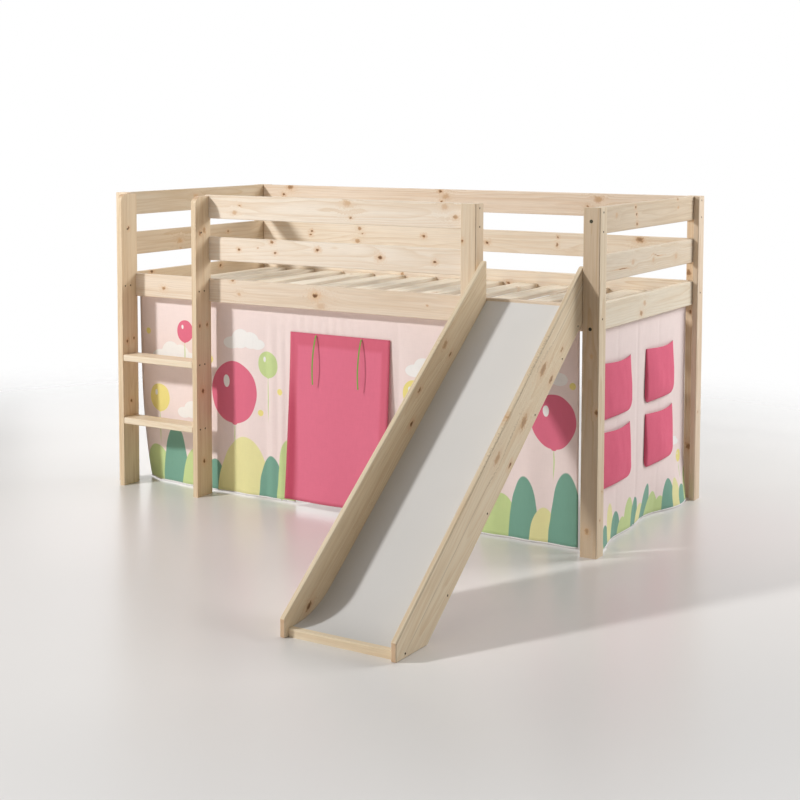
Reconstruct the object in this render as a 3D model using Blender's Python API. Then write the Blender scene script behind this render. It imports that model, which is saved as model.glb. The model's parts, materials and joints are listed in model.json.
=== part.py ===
"""A child's mid-height loft bed in pine, with a ladder, a slide and a fabric play curtain under it.

The bed stands on the floor at z = 0. X runs along the bed, the ladder and the slide are at its front, -Y,
and the origin is under the middle of the whole piece of furniture, slide included.
"""

import math

import bmesh
import bpy
from mathutils import Matrix, Vector

# Overall sizes of the bed
BED_LENGTH = 2.080
BED_WIDTH = 0.980
POST_HEIGHT = 1.164

# Lumber
PLANK_THICKNESS = 0.021
RAIL_HEIGHT = 0.090
RAIL_GAP = 0.071
LUMBER_EDGE = 0.0025
SEAT_GAP = 0.0003

# Posts, each of two planks mitred and glued into an L, with a fine V along the seam
POST_FRONT_WIDTH = 0.060
POST_SIDE_WIDTH = 0.057
POST_SEAM = 0.0012

# Guard post beside the slide opening
SLIDE_OPENING = 0.397

# Slats, and the ledgers of the side rail and the low rear rail that carry them
SLAT_WIDTH = 0.086
SLAT_THICKNESS = 0.018
SLAT_PITCH = 0.155
SLAT_FIRST_INSET = 0.079
LEDGER_HEIGHT = 0.025
LEDGER_DEPTH = 0.020

# Ladder
LADDER_WIDTH = 0.392
LADDER_BOARD_DEPTH = 0.091
LADDER_FRONT = 0.061
LADDER_TOP_ROUNDING = 0.030
LADDER_TOP_DROP = 0.004
HOUSING_CLEARANCE = 0.0005
RUNG_COUNT = 2
RUNG_DEPTH = 0.080
RUNG_THICKNESS = 0.025
RUNG_FIRST_TOP = 0.2750
RUNG_RISE = 0.2505

# Slide
SLIDE_REACH = 1.178
SLIDE_WIDTH = 0.382
SLIDE_SIDE_CLEARANCE = 0.001
SLIDE_BOARD_THICKNESS = 0.018
SLIDE_BOARD_HEIGHT = 0.145
SLIDE_FOOT_LENGTH = 0.166
SLIDE_PEAK_LENGTH = 0.010
SLIDE_HOLD_SHARE = 0.46
PANEL_THICKNESS = 0.004
PANEL_SEAT = 0.027
PANEL_ARC_STEPS = 10
FOOT_BAR_SETBACK = 0.017
FOOT_BAR_DEPTH = 0.060
FOOT_BAR_LIP = 0.020
FOOT_BAR_HEIGHT = 0.025
BATTEN_WIDTH = 0.030
BATTEN_THICKNESS = 0.020
BATTEN_SHARES = (0.121, 0.351, 0.656, 0.845, 0.961)

# Fasteners
BOLT_HEAD_RADIUS = 0.0062
BOLT_HEAD_DEPTH = 0.0040
BOLT_SHANK_RADIUS = 0.0030
BOLT_SHANK_LENGTH = 0.012
BOLT_SIDES = 12
SCREW_HEAD_RADIUS = 0.0038
SCREW_TIP_RADIUS = 0.0015
SCREW_LENGTH = 0.011
SCREW_SIDES = 8
HEAD_RECESS = 0.0006
FASTENER_CLEARANCE = 0.0003
CUTTER_OVERRUN = 0.002
BOLT_LOW_RISE = 0.0125
SCREW_RAIL_TOP_INSET = 0.016
SCREW_RAIL_BOTTOM_INSET = 0.010
LADDER_SCREW_SPACING = 0.031
LADDER_SCREW_SETBACK = 0.035
LADDER_HOLE_RISE = 0.180

# Fabric
FABRIC_THICKNESS = 0.003
FLOOR_CLEARANCE = 0.005
CURTAIN_LEFT_INSET = 0.067
CURTAIN_RIGHT_INSET = 0.096
CURTAIN_SWEEP = 0.055
CURTAIN_SWEEP_POWER = 3.2
CURTAIN_SWEEP_FADE = 8
CURTAIN_TOP_OVERLAP = 0.020
CURTAIN_FOLD_PITCH = 0.150
CURTAIN_FOLD_DEPTH = 0.006
CURTAIN_COLUMN_WIDTH = 0.030
CURTAIN_ROWS = 6
END_CURTAIN_INSET = 0.065
END_CURTAIN_HEM_RISE = 0.190
END_CURTAIN_HEM_POWER = 1.5
# Each wave of the hem: its depth, its pitch, and how far along the curtain its first crest stands
END_CURTAIN_WAVES = ((0.020, 0.760, 0.033), (0.012, 0.380, 0.353))
END_CURTAIN_COLUMNS = 30
END_CURTAIN_ROWS = 12
DOOR_LEFT = 0.807
DOOR_WIDTH = 0.438
DOOR_DROP = 0.094
DOOR_OVERLAP = 0.014
DOOR_FLOOR_CLEARANCE = 0.030
DOOR_SWELL = 0.045
DOOR_SWELL_POWER = 1.4
DOOR_COLUMNS = 10
DOOR_ROWS = 10
RIBBON_WIDTH = 0.005
RIBBON_SETBACK = 0.003
RIBBON_DROP = 0.182
RIBBON_BOW = 0.027
RIBBON_BOW_SHARE = 0.68
RIBBON_BOW_POWER = 0.75
RIBBON_SHARES = (0.269, 0.724)
RIBBON_POINTS = 16

# Storage pockets on the end curtain
POCKET_WIDTH = 0.262
POCKET_HEIGHT = 0.196
POCKET_DEPTH = 0.024
POCKET_SAG = 0.014
POCKET_FIRST_INSET = 0.109
POCKET_COLUMN_PITCH = 0.407
POCKET_ROW_PITCH = 0.236
POCKET_TOP_DROP = 0.119
POCKET_COLUMNS = 10
POCKET_ROWS = 8
POCKET_SIDE_POWER = 6
POCKET_BOTTOM_POWER = 8
POCKET_TOP_DEPTH_SHARE = 0.75

# Finishes: colour, roughness and metallic value
PINE = ((0.86, 0.76, 0.62), 0.55, 0.0)
PANEL_WHITE = ((0.86, 0.85, 0.83), 0.25, 0.0)
CURTAIN_PINK = ((0.92, 0.80, 0.78), 0.90, 0.0)
DOOR_PINK = ((0.80, 0.30, 0.42), 0.90, 0.0)
RIBBON_GREEN = ((0.60, 0.76, 0.38), 0.80, 0.0)
DARK_STEEL = ((0.08, 0.08, 0.06), 0.45, 0.8)

# Places that follow from the sizes above
LEFT_X = -BED_LENGTH / 2
RIGHT_X = BED_LENGTH / 2
FRONT_Y = (SLIDE_REACH - BED_WIDTH) / 2
REAR_Y = FRONT_Y + BED_WIDTH
RAIL_FRONT_Y = FRONT_Y + PLANK_THICKNESS + SEAT_GAP
RAIL_BACK_Y = REAR_Y - PLANK_THICKNESS - SEAT_GAP
END_OUTER_INSET = PLANK_THICKNESS + SEAT_GAP
END_INNER_INSET = END_OUTER_INSET + PLANK_THICKNESS
LONG_LEFT_X = LEFT_X + END_INNER_INSET + SEAT_GAP
LONG_RIGHT_X = RIGHT_X - END_INNER_INSET - SEAT_GAP
LEVEL_PITCH = RAIL_HEIGHT + RAIL_GAP
TOP_LEVEL = POST_HEIGHT - RAIL_HEIGHT
MIDDLE_LEVEL = TOP_LEVEL - LEVEL_PITCH
LOW_LEVEL = MIDDLE_LEVEL - LEVEL_PITCH
LEVELS = {"top": TOP_LEVEL, "middle": MIDDLE_LEVEL, "low": LOW_LEVEL}
DECK_TOP = LOW_LEVEL + RAIL_HEIGHT
LEDGER_TOP = LOW_LEVEL + LEDGER_HEIGHT
SLAT_BOTTOM = LEDGER_TOP + SEAT_GAP
SLIDE_GATE_RIGHT = RIGHT_X - POST_FRONT_WIDTH
GUARD_POST_RIGHT = SLIDE_GATE_RIGHT - SLIDE_OPENING
LADDER_LEFT_X = LEFT_X + POST_FRONT_WIDTH + SEAT_GAP
LADDER_RIGHT_X = LADDER_LEFT_X + LADDER_WIDTH
LADDER_FRONT_Y = FRONT_Y - LADDER_FRONT
LADDER_BACK_Y = LADDER_FRONT_Y + LADDER_BOARD_DEPTH
SLIDE_RIGHT_X = SLIDE_GATE_RIGHT - SLIDE_SIDE_CLEARANCE
SLIDE_LEFT_X = SLIDE_RIGHT_X - SLIDE_WIDTH
SLIDE_END_Y = RAIL_FRONT_Y - SEAT_GAP
SLIDE_NOSE_Y = FRONT_Y - SLIDE_REACH
SLIDE_HEEL_Y = SLIDE_NOSE_Y + SLIDE_FOOT_LENGTH
SLIDE_END_Z = LOW_LEVEL + SLIDE_HOLD_SHARE * RAIL_HEIGHT
SLIDE_ANGLE = math.atan2(SLIDE_END_Z, SLIDE_END_Y - SLIDE_HEEL_Y)
SIDE_INNER_Y = RAIL_FRONT_Y + PLANK_THICKNESS
REAR_INNER_Y = RAIL_BACK_Y - PLANK_THICKNESS
CURTAIN_FRONT_Y = SIDE_INNER_Y + LEDGER_DEPTH + SEAT_GAP
CURTAIN_TOP = LOW_LEVEL + CURTAIN_TOP_OVERLAP
END_CURTAIN_X = RIGHT_X - END_INNER_INSET - SEAT_GAP
DOOR_LEFT_X = LEFT_X + DOOR_LEFT
DOOR_RIGHT_X = DOOR_LEFT_X + DOOR_WIDTH
DOOR_TOP = LOW_LEVEL - DOOR_DROP
DOOR_FRONT_Y = CURTAIN_FRONT_Y - SEAT_GAP - FABRIC_THICKNESS


def clear_scene():
    """Removes what the scene holds, so that the script can run again in the same file."""
    for obj in list(bpy.data.objects):
        bpy.data.objects.remove(obj, do_unlink=True)


def finish_with(obj, finish):
    """Gives an object its own Principled material."""
    colour, roughness, metallic = finish
    material = bpy.data.materials.new(obj.name + "_finish")
    material.use_nodes = True
    shader = material.node_tree.nodes["Principled BSDF"]
    shader.inputs["Base Color"].default_value = (*colour, 1.0)
    shader.inputs["Roughness"].default_value = roughness
    shader.inputs["Metallic"].default_value = metallic
    obj.data.materials.append(material)


def object_from(name, bm, finish):
    """Turns a bmesh into a named object of the scene."""
    bmesh.ops.recalc_face_normals(bm, faces=bm.faces)
    mesh = bpy.data.meshes.new(name)
    bm.to_mesh(mesh)
    bm.free()
    obj = bpy.data.objects.new(name, mesh)
    bpy.context.scene.collection.objects.link(obj)
    finish_with(obj, finish)
    return obj


def bevel_edges(bm, width):
    bmesh.ops.bevel(bm, geom=list(bm.edges), offset=width, segments=1, profile=0.5, affect="EDGES")


def board(name, low, high, finish=PINE, edge=LUMBER_EDGE):
    """A planed board between two corners, with its edges eased."""
    low, high = Vector(low), Vector(high)
    bm = bmesh.new()
    size = high - low
    place = Matrix.Translation((low + high) / 2) @ Matrix.Diagonal((*size, 1.0))
    bmesh.ops.create_cube(bm, size=1.0, matrix=place)
    if edge:
        bevel_edges(bm, edge)
    return object_from(name, bm, finish)


def prism(bm, outline, axis, start, end):
    """Extrudes an outline of two coordinates along the third axis, named 'x' or 'z'."""
    def point(pair, level):
        return (level, *pair) if axis == "x" else (*pair, level)

    near = [bm.verts.new(point(pair, start)) for pair in outline]
    far = [bm.verts.new(point(pair, end)) for pair in outline]
    bm.faces.new(near)
    bm.faces.new(list(reversed(far)))
    for i in range(len(outline)):
        j = (i + 1) % len(outline)
        bm.faces.new((near[i], near[j], far[j], far[i]))


def arc(centre, radius, start, end, steps):
    """Points on an arc in a plane, the angles in radians."""
    angles = [start + (end - start) * i / steps for i in range(steps + 1)]
    return [(centre[0] + radius * math.cos(a), centre[1] + radius * math.sin(a)) for a in angles]


def post_outline():
    """The L of a post, as places along its face and into its depth, and the run of it that is the side plank."""
    edge = LUMBER_EDGE
    thick = PLANK_THICKNESS
    face = [
        (2 * POST_SEAM, 0),
        (POST_FRONT_WIDTH - edge, 0),
        (POST_FRONT_WIDTH, edge),
        (POST_FRONT_WIDTH, thick - edge),
        (POST_FRONT_WIDTH - edge, thick),
        (thick, thick),
    ]
    side = [
        (thick, POST_SIDE_WIDTH - edge),
        (thick - edge, POST_SIDE_WIDTH),
        (edge, POST_SIDE_WIDTH),
        (0, POST_SIDE_WIDTH - edge),
    ]
    seam = [
        (0, thick),
        (0, 2 * POST_SEAM),
        (POST_SEAM, POST_SEAM),
    ]
    return face, side, seam


def post(name, corner, side, facing, bottom=0.0, side_plank_bottom=None):
    """A post. side is the X direction and facing the Y direction in which its outer corner points."""
    cx, cy = corner
    face_run, side_run, seam_run = post_outline()
    bm = bmesh.new()

    def ring(run, z):
        return [bm.verts.new((cx - side * u, cy - facing * v, z)) for u, v in run]

    def walls(low, high, closed=True):
        for i in range(len(low) if closed else len(low) - 1):
            j = (i + 1) % len(low)
            bm.faces.new((low[i], low[j], high[j], high[i]))

    step = bottom if side_plank_bottom is None else side_plank_bottom
    face_step, side_step, seam_step = (ring(run, step) for run in (face_run, side_run, seam_run))
    top = ring(face_run + side_run + seam_run, POST_HEIGHT)
    bm.faces.new(top)
    walls(face_step + side_step + seam_step, top)
    if side_plank_bottom is None:
        bm.faces.new(face_step + side_step + seam_step)
    else:
        bm.faces.new([face_step[-1]] + side_step + [seam_step[0]])
        foot = ring(face_run + seam_run, bottom)
        bm.faces.new(foot)
        walls(foot, face_step + seam_step)
    return object_from(name, bm, PINE)


def turned(bm, place, profile, sides):
    """A turned solid about the local Z axis. The profile lists radius and height from bottom to top."""
    rings = []
    for radius, height in profile:
        angles = [2 * math.pi * i / sides for i in range(sides)]
        ring = [place @ Vector((radius * math.cos(a), radius * math.sin(a), height)) for a in angles]
        rings.append([bm.verts.new(p) for p in ring])
    bm.faces.new(list(reversed(rings[0])))
    bm.faces.new(rings[-1])
    for low, high in zip(rings, rings[1:]):
        for i in range(sides):
            j = (i + 1) % sides
            bm.faces.new((low[i], low[j], high[j], high[i]))


def facing_matrix(point, direction):
    """Places a local Z axis at a point on a face, along the face's outward direction."""
    return Matrix.Translation(Vector(point)) @ Vector(direction).to_track_quat("Z", "Y").to_matrix().to_4x4()


def bolt_profile(grow, top):
    """Radius and height along a cap bolt, from its tip to its head."""
    return [
        (BOLT_SHANK_RADIUS + grow, -BOLT_HEAD_DEPTH - BOLT_SHANK_LENGTH - grow),
        (BOLT_SHANK_RADIUS + grow, -BOLT_HEAD_DEPTH - grow),
        (BOLT_HEAD_RADIUS + grow, -BOLT_HEAD_DEPTH - grow),
        (BOLT_HEAD_RADIUS + grow, top),
    ]


def screw_profile():
    """Radius and height of the countersunk seat of a wood screw."""
    return [
        (SCREW_TIP_RADIUS, -SCREW_LENGTH),
        (SCREW_HEAD_RADIUS, -HEAD_RECESS),
        (SCREW_HEAD_RADIUS, CUTTER_OVERRUN),
    ]


class Seats:
    """The fastener seats of one board, cut out of it together."""

    def __init__(self, host):
        self.host = host
        self.bm = bmesh.new()

    def screw(self, point, direction):
        turned(self.bm, facing_matrix(point, direction), screw_profile(), SCREW_SIDES)

    def bolt(self, name, point, direction):
        place = facing_matrix(point, direction)
        turned(self.bm, place, bolt_profile(FASTENER_CLEARANCE, CUTTER_OVERRUN), BOLT_SIDES)
        solid = bmesh.new()
        turned(solid, place, bolt_profile(0.0, -HEAD_RECESS), BOLT_SIDES)
        object_from(name, solid, DARK_STEEL)

    def cut(self):
        obj = object_from(self.host.name + "_seats", self.bm, DARK_STEEL)
        obj.hide_render = True
        obj.display_type = "WIRE"
        modifier = self.host.modifiers.new("Fastener seats", "BOOLEAN")
        modifier.operation = "DIFFERENCE"
        modifier.solver = "EXACT"
        modifier.object = obj


def shares(steps):
    """Even shares from 0 to 1."""
    return [i / steps for i in range(steps + 1)]


def shell(name, outer, inner, across, down, finish, open_at=None):
    """A closed sheet between two surfaces over a grid. open_at tells which of its cells are left open."""
    bm = bmesh.new()
    points = {}

    def vert(surface, i, j):
        key = (surface, i, j)
        if key not in points:
            points[key] = bm.verts.new(surface(across[i], down[j]))
        return points[key]

    cells = [(i, j) for j in range(len(down) - 1) for i in range(len(across) - 1)]
    if open_at:
        cells = [(i, j) for i, j in cells if not open_at(across[i] + across[i + 1], down[j] + down[j + 1])]
    edges = set()
    for i, j in cells:
        loop = [(i, j), (i + 1, j), (i + 1, j + 1), (i, j + 1)]
        for surface in (outer, inner):
            bm.faces.new([vert(surface, *key) for key in loop])
        edges.update(zip(loop, loop[1:] + loop[:1]))
    for start, end in sorted(edges):
        if (end, start) not in edges:
            corners = ((outer, start), (outer, end), (inner, end), (inner, start))
            bm.faces.new([vert(surface, *key) for surface, key in corners])
    return object_from(name, bm, finish)


def make_posts():
    """The four corner posts, and the guard post that stands on the side rail beside the slide."""
    corners = {
        "front_left_post": ((LEFT_X, FRONT_Y), -1, -1),
        "front_right_post": ((RIGHT_X, FRONT_Y), 1, -1),
        "rear_left_post": ((LEFT_X, REAR_Y), -1, 1),
        "rear_right_post": ((RIGHT_X, REAR_Y), 1, 1),
    }
    posts = {name: post(name, *spec) for name, spec in corners.items()}
    place = ((GUARD_POST_RIGHT, FRONT_Y), 1, -1)
    posts["guard_post"] = post("guard_post", *place, bottom=LOW_LEVEL, side_plank_bottom=DECK_TOP + SEAT_GAP)
    return posts


def ledger_rail(name, outer_y, inward):
    """A long rail with a ledger glued along the foot of its inner face, which lies in the Y direction inward."""
    depth = PLANK_THICKNESS + LEDGER_DEPTH
    outline = [
        (outer_y, LOW_LEVEL),
        (outer_y + inward * depth, LOW_LEVEL),
        (outer_y + inward * depth, LEDGER_TOP),
        (outer_y + inward * PLANK_THICKNESS, LEDGER_TOP),
        (outer_y + inward * PLANK_THICKNESS, DECK_TOP),
        (outer_y, DECK_TOP),
    ]
    bm = bmesh.new()
    prism(bm, outline, "x", LONG_LEFT_X, LONG_RIGHT_X)
    bmesh.ops.recalc_face_normals(bm, faces=bm.faces)
    bevel_edges(bm, LUMBER_EDGE)
    return object_from(name, bm, PINE)


def make_rails():
    """End rails run from face plank to face plank, and the long rails run between them."""
    for level_name, level in LEVELS.items():
        for end_name, outer in (("left", LEFT_X + END_OUTER_INSET), ("right", RIGHT_X - END_INNER_INSET)):
            low = (outer, RAIL_FRONT_Y, level)
            high = (outer + PLANK_THICKNESS, RAIL_BACK_Y, level + RAIL_HEIGHT)
            board(end_name + "_end_rail_" + level_name, low, high)
    ledger_rail("front_side_rail", RAIL_FRONT_Y, 1)
    ledger_rail("rear_rail_low", RAIL_BACK_Y, -1)
    guard_start = LADDER_RIGHT_X - PLANK_THICKNESS
    guard_end = GUARD_POST_RIGHT - PLANK_THICKNESS - SEAT_GAP
    for level_name in ("top", "middle"):
        level = LEVELS[level_name]
        high = level + RAIL_HEIGHT
        board("rear_rail_" + level_name, (LONG_LEFT_X, REAR_INNER_Y, level), (LONG_RIGHT_X, RAIL_BACK_Y, high))
        board("guard_rail_" + level_name, (guard_start, RAIL_FRONT_Y, level), (guard_end, SIDE_INNER_Y, high))


def make_deck():
    """The slats, which lie on the ledgers between the two low rails."""
    first = LEFT_X + SLAT_FIRST_INSET
    count = int((LONG_RIGHT_X - first - SLAT_WIDTH) / SLAT_PITCH) + 1
    for i in range(count):
        x = first + i * SLAT_PITCH
        low = (x, SIDE_INNER_Y + SEAT_GAP, SLAT_BOTTOM)
        high = (x + SLAT_WIDTH, REAR_INNER_Y - SEAT_GAP, SLAT_BOTTOM + SLAT_THICKNESS)
        board("slat_%02d" % (i + 1), low, high)


def ladder_outline(housings):
    """The side view of a ladder board, with a housing in its back edge for each rail that it laps."""
    top = POST_HEIGHT - LADDER_TOP_DROP
    radius = LADDER_TOP_ROUNDING
    outline = [(LADDER_BACK_Y, 0.0), (LADDER_FRONT_Y, 0.0)]
    centre = (LADDER_FRONT_Y + radius, top - radius)
    outline += arc(centre, radius, math.pi, math.pi / 2, 6)
    bottom_of_housing = RAIL_FRONT_Y - HOUSING_CLEARANCE
    spans = [(z - HOUSING_CLEARANCE, z + RAIL_HEIGHT + HOUSING_CLEARANCE) for z in sorted(housings, reverse=True)]
    if spans and spans[0][1] > top:
        outline.append((bottom_of_housing, top))
        outline += [(bottom_of_housing, spans[0][0]), (LADDER_BACK_Y, spans[0][0])]
        spans = spans[1:]
    else:
        outline.append((LADDER_BACK_Y, top))
    for low, high in spans:
        outline += [(LADDER_BACK_Y, high), (bottom_of_housing, high), (bottom_of_housing, low), (LADDER_BACK_Y, low)]
    return outline


def make_ladder():
    """Two boards on edge in front of the bed, housed over the rails, with rungs between them."""
    boards = {}
    inner = LADDER_LEFT_X + PLANK_THICKNESS
    far = LADDER_RIGHT_X - PLANK_THICKNESS
    plan = {
        "ladder_board_left": (LADDER_LEFT_X, [LOW_LEVEL]),
        "ladder_board_right": (far, [LOW_LEVEL, MIDDLE_LEVEL, TOP_LEVEL]),
    }
    for name, (x, housings) in plan.items():
        bm = bmesh.new()
        prism(bm, ladder_outline(housings), "x", x, x + PLANK_THICKNESS)
        boards[name] = object_from(name, bm, PINE)
    for i in range(RUNG_COUNT):
        top = RUNG_FIRST_TOP + i * RUNG_RISE
        low = (inner + SEAT_GAP, LADDER_FRONT_Y, top - RUNG_THICKNESS)
        board("ladder_rung_%d" % (i + 1), low, (far - SEAT_GAP, LADDER_FRONT_Y + RUNG_DEPTH, top))
    return boards


def slide_lower_z(y):
    """Height of the sloping lower edge of a slide board."""
    return (y - SLIDE_HEEL_Y) * math.tan(SLIDE_ANGLE)


def slide_point(share, rise):
    """A point along the slope, at a height square to the lower edge."""
    y = SLIDE_HEEL_Y + share * (SLIDE_END_Y - SLIDE_HEEL_Y)
    z = slide_lower_z(y)
    return y - rise * math.sin(SLIDE_ANGLE), z + rise * math.cos(SLIDE_ANGLE)


def slide_board_outline():
    rise = SLIDE_BOARD_HEIGHT / math.cos(SLIDE_ANGLE)
    peak_y = SLIDE_END_Y - SLIDE_PEAK_LENGTH
    peak_z = slide_lower_z(peak_y) + rise
    return [
        (SLIDE_NOSE_Y, 0.0),
        (SLIDE_HEEL_Y, 0.0),
        (SLIDE_END_Y, SLIDE_END_Z),
        (SLIDE_END_Y, peak_z),
        (peak_y, peak_z),
        (SLIDE_NOSE_Y, slide_lower_z(SLIDE_NOSE_Y) + rise),
    ]


def panel_line(rise, foot_z):
    """The panel's side view at one face: down the slope, round the bend and flat to the foot bar."""
    lift = rise / math.cos(SLIDE_ANGLE)
    cross_y = SLIDE_HEEL_Y + (foot_z - lift) / math.tan(SLIDE_ANGLE)
    end_y = SLIDE_NOSE_Y + FOOT_BAR_SETBACK + FOOT_BAR_LIP + SEAT_GAP
    tangent = cross_y - end_y
    radius = tangent / math.tan(SLIDE_ANGLE / 2)
    start = -math.pi / 2
    bend = arc((end_y, foot_z + radius), radius, start + SLIDE_ANGLE, start, PANEL_ARC_STEPS)
    top = (SLIDE_END_Y, slide_lower_z(SLIDE_END_Y) + lift)
    return [top] + bend


def make_slide():
    """Two side boards, the bent white panel between them, the battens under it and the foot bar."""
    boards = {}
    inner_left = SLIDE_LEFT_X + SLIDE_BOARD_THICKNESS + SEAT_GAP
    inner_right = SLIDE_RIGHT_X - SLIDE_BOARD_THICKNESS - SEAT_GAP
    for name, x in (("left", SLIDE_LEFT_X), ("right", SLIDE_RIGHT_X - SLIDE_BOARD_THICKNESS)):
        bm = bmesh.new()
        prism(bm, slide_board_outline(), "x", x, x + SLIDE_BOARD_THICKNESS)
        bevel_edges(bm, LUMBER_EDGE)
        boards[name] = object_from("slide_board_" + name, bm, PINE)

    upper = panel_line(PANEL_SEAT + PANEL_THICKNESS, FOOT_BAR_HEIGHT)
    lower = panel_line(PANEL_SEAT, FOOT_BAR_HEIGHT - PANEL_THICKNESS)
    bm = bmesh.new()
    prism(bm, upper + list(reversed(lower)), "x", inner_left, inner_right)
    object_from("slide_panel", bm, PANEL_WHITE)

    for i, share in enumerate(BATTEN_SHARES):
        y, z = slide_point(share, PANEL_SEAT - SEAT_GAP - BATTEN_THICKNESS / 2)
        half = Vector((inner_right - inner_left, BATTEN_WIDTH, BATTEN_THICKNESS)) / 2
        batten = board("slide_batten_%d" % (i + 1), -half, half)
        batten.location = ((inner_left + inner_right) / 2, y, z)
        batten.rotation_euler = (SLIDE_ANGLE, 0.0, 0.0)

    front = SLIDE_NOSE_Y + FOOT_BAR_SETBACK
    ledge = FOOT_BAR_HEIGHT - PANEL_THICKNESS - SEAT_GAP
    outline = [
        (front, 0.0),
        (front + FOOT_BAR_DEPTH, 0.0),
        (front + FOOT_BAR_DEPTH, ledge),
        (front + FOOT_BAR_LIP, ledge),
        (front + FOOT_BAR_LIP, FOOT_BAR_HEIGHT),
        (front, FOOT_BAR_HEIGHT),
    ]
    bm = bmesh.new()
    prism(bm, outline, "x", inner_left, inner_right)
    object_from("slide_foot_bar", bm, PINE)
    return boards


def fasten_posts(posts):
    """Cap bolts through the posts' face planks into the end rails, and screws through their side planks."""
    bolt_levels = {"top": TOP_LEVEL + RAIL_HEIGHT / 2, "low": LOW_LEVEL + BOLT_LOW_RISE}
    screw_levels = (
        POST_HEIGHT - SCREW_RAIL_TOP_INSET,
        TOP_LEVEL + SCREW_RAIL_BOTTOM_INSET,
        LOW_LEVEL + RAIL_HEIGHT / 2,
    )
    bolt_inset = END_OUTER_INSET + PLANK_THICKNESS / 2
    screw_inset = POST_SIDE_WIDTH / 2
    for name, obj in posts.items():
        seats = Seats(obj)
        if name == "guard_post":
            for z in screw_levels[:2]:
                seats.screw((GUARD_POST_RIGHT, FRONT_Y + screw_inset, z), (1, 0, 0))
            seats.cut()
            continue
        side = 1 if "right" in name else -1
        facing = -1 if "front" in name else 1
        x = side * BED_LENGTH / 2
        y = FRONT_Y if facing < 0 else REAR_Y
        for level_name, z in bolt_levels.items():
            seats.bolt(name + "_bolt_" + level_name, (x - side * bolt_inset, y, z), (0, facing, 0))
        for z in screw_levels:
            seats.screw((x, y - facing * screw_inset, z), (side, 0, 0))
        seats.cut()


def fasten_ladder(boards):
    """Pairs of screws into the rungs and the side rail, and one more hole at the height of a hand."""
    rungs = [RUNG_FIRST_TOP + i * RUNG_RISE - RUNG_THICKNESS / 2 for i in range(RUNG_COUNT)]
    rail = [LOW_LEVEL + RAIL_HEIGHT / 2]
    hole = DECK_TOP + LADDER_HOLE_RISE
    y = LADDER_FRONT_Y + LADDER_SCREW_SETBACK
    inner = LADDER_LEFT_X + PLANK_THICKNESS
    plan = {
        "ladder_board_left": (((LADDER_LEFT_X, -1), rungs), ((inner, 1), rail)),
        "ladder_board_right": (((LADDER_RIGHT_X, 1), rungs + rail),),
    }
    for name, faces in plan.items():
        seats = Seats(boards[name])
        for (x, side), levels in faces:
            for z in levels:
                for step in (-1, 1):
                    seats.screw((x, y + step * LADDER_SCREW_SPACING / 2, z), (side, 0, 0))
        x, side = faces[-1][0]
        seats.screw((x, y, hole), (side, 0, 0))
        seats.cut()


def fasten_slide(boards):
    """Screws through the slide's boards into its battens and its foot bar."""
    places = [slide_point(share, PANEL_SEAT - BATTEN_THICKNESS / 2) for share in BATTEN_SHARES]
    places.append((SLIDE_NOSE_Y + FOOT_BAR_SETBACK + FOOT_BAR_DEPTH / 2, FOOT_BAR_HEIGHT / 2))
    for name, x, side in (("left", SLIDE_LEFT_X, -1), ("right", SLIDE_RIGHT_X, 1)):
        seats = Seats(boards[name])
        for y, z in places:
            seats.screw((x, y, z), (side, 0, 0))
        seats.cut()


def spread(start, end, step):
    """Even places from start to end, about a step apart."""
    count = max(1, round((end - start) / step))
    return [start + (end - start) * share for share in shares(count)]


def make_front_curtain():
    """The front curtain, with its doorway. Its folds deepen downwards and its lower left corner is swept back."""
    left_x = LEFT_X + CURTAIN_LEFT_INSET
    right_x = RIGHT_X - CURTAIN_RIGHT_INSET
    door_x = (DOOR_LEFT_X + DOOR_OVERLAP, DOOR_RIGHT_X - DOOR_OVERLAP)
    lintel = DOOR_TOP - DOOR_OVERLAP
    across = spread(left_x, door_x[0], CURTAIN_COLUMN_WIDTH)
    across += spread(door_x[0], door_x[1], CURTAIN_COLUMN_WIDTH)[1:]
    across += spread(door_x[1], right_x, CURTAIN_COLUMN_WIDTH)[1:]
    down = [CURTAIN_TOP] + [lintel + (FLOOR_CLEARANCE - lintel) * share for share in shares(CURTAIN_ROWS)]

    def surface(depth):
        def point(x, z):
            fallen = (CURTAIN_TOP - z) / (CURTAIN_TOP - FLOOR_CLEARANCE)
            reach = max(0.0, 1 - (x - left_x) / (door_x[0] - left_x))
            drop = max(0.0, (LOW_LEVEL - z) / LOW_LEVEL)
            phase = 2 * math.pi * (x - LEFT_X) / CURTAIN_FOLD_PITCH
            fold = CURTAIN_FOLD_DEPTH * drop * (1 - math.cos(phase)) / 2
            swept = CURTAIN_SWEEP * fallen ** CURTAIN_SWEEP_POWER * reach ** CURTAIN_SWEEP_FADE
            return x, CURTAIN_FRONT_Y + fold + swept + depth, z
        return point

    def doorway(double_x, double_z):
        return 2 * door_x[0] < double_x < 2 * door_x[1] and double_z < 2 * lintel

    shell("front_curtain", surface(0.0), surface(FABRIC_THICKNESS), across, down, CURTAIN_PINK, doorway)


def make_end_curtain():
    """The curtain of the right-hand end, flat behind its pockets and wavy along its hem."""
    start = FRONT_Y + END_CURTAIN_INSET + FABRIC_THICKNESS
    end = REAR_Y - END_CURTAIN_INSET

    def surface(depth):
        def point(across, down):
            y = start + across * (end - start)
            z = CURTAIN_TOP + down * (FLOOR_CLEARANCE - CURTAIN_TOP)
            drop = max(0.0, 1 - (z - FLOOR_CLEARANCE) / END_CURTAIN_HEM_RISE) ** END_CURTAIN_HEM_POWER
            waves = [
                size * math.cos(2 * math.pi * (y - start - crest) / pitch)
                for size, pitch, crest in END_CURTAIN_WAVES
            ]
            return END_CURTAIN_X - depth + drop * sum(waves), y, z
        return point

    across, down = shares(END_CURTAIN_COLUMNS), shares(END_CURTAIN_ROWS)
    shell("end_curtain", surface(0.0), surface(FABRIC_THICKNESS), across, down, CURTAIN_PINK)


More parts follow.
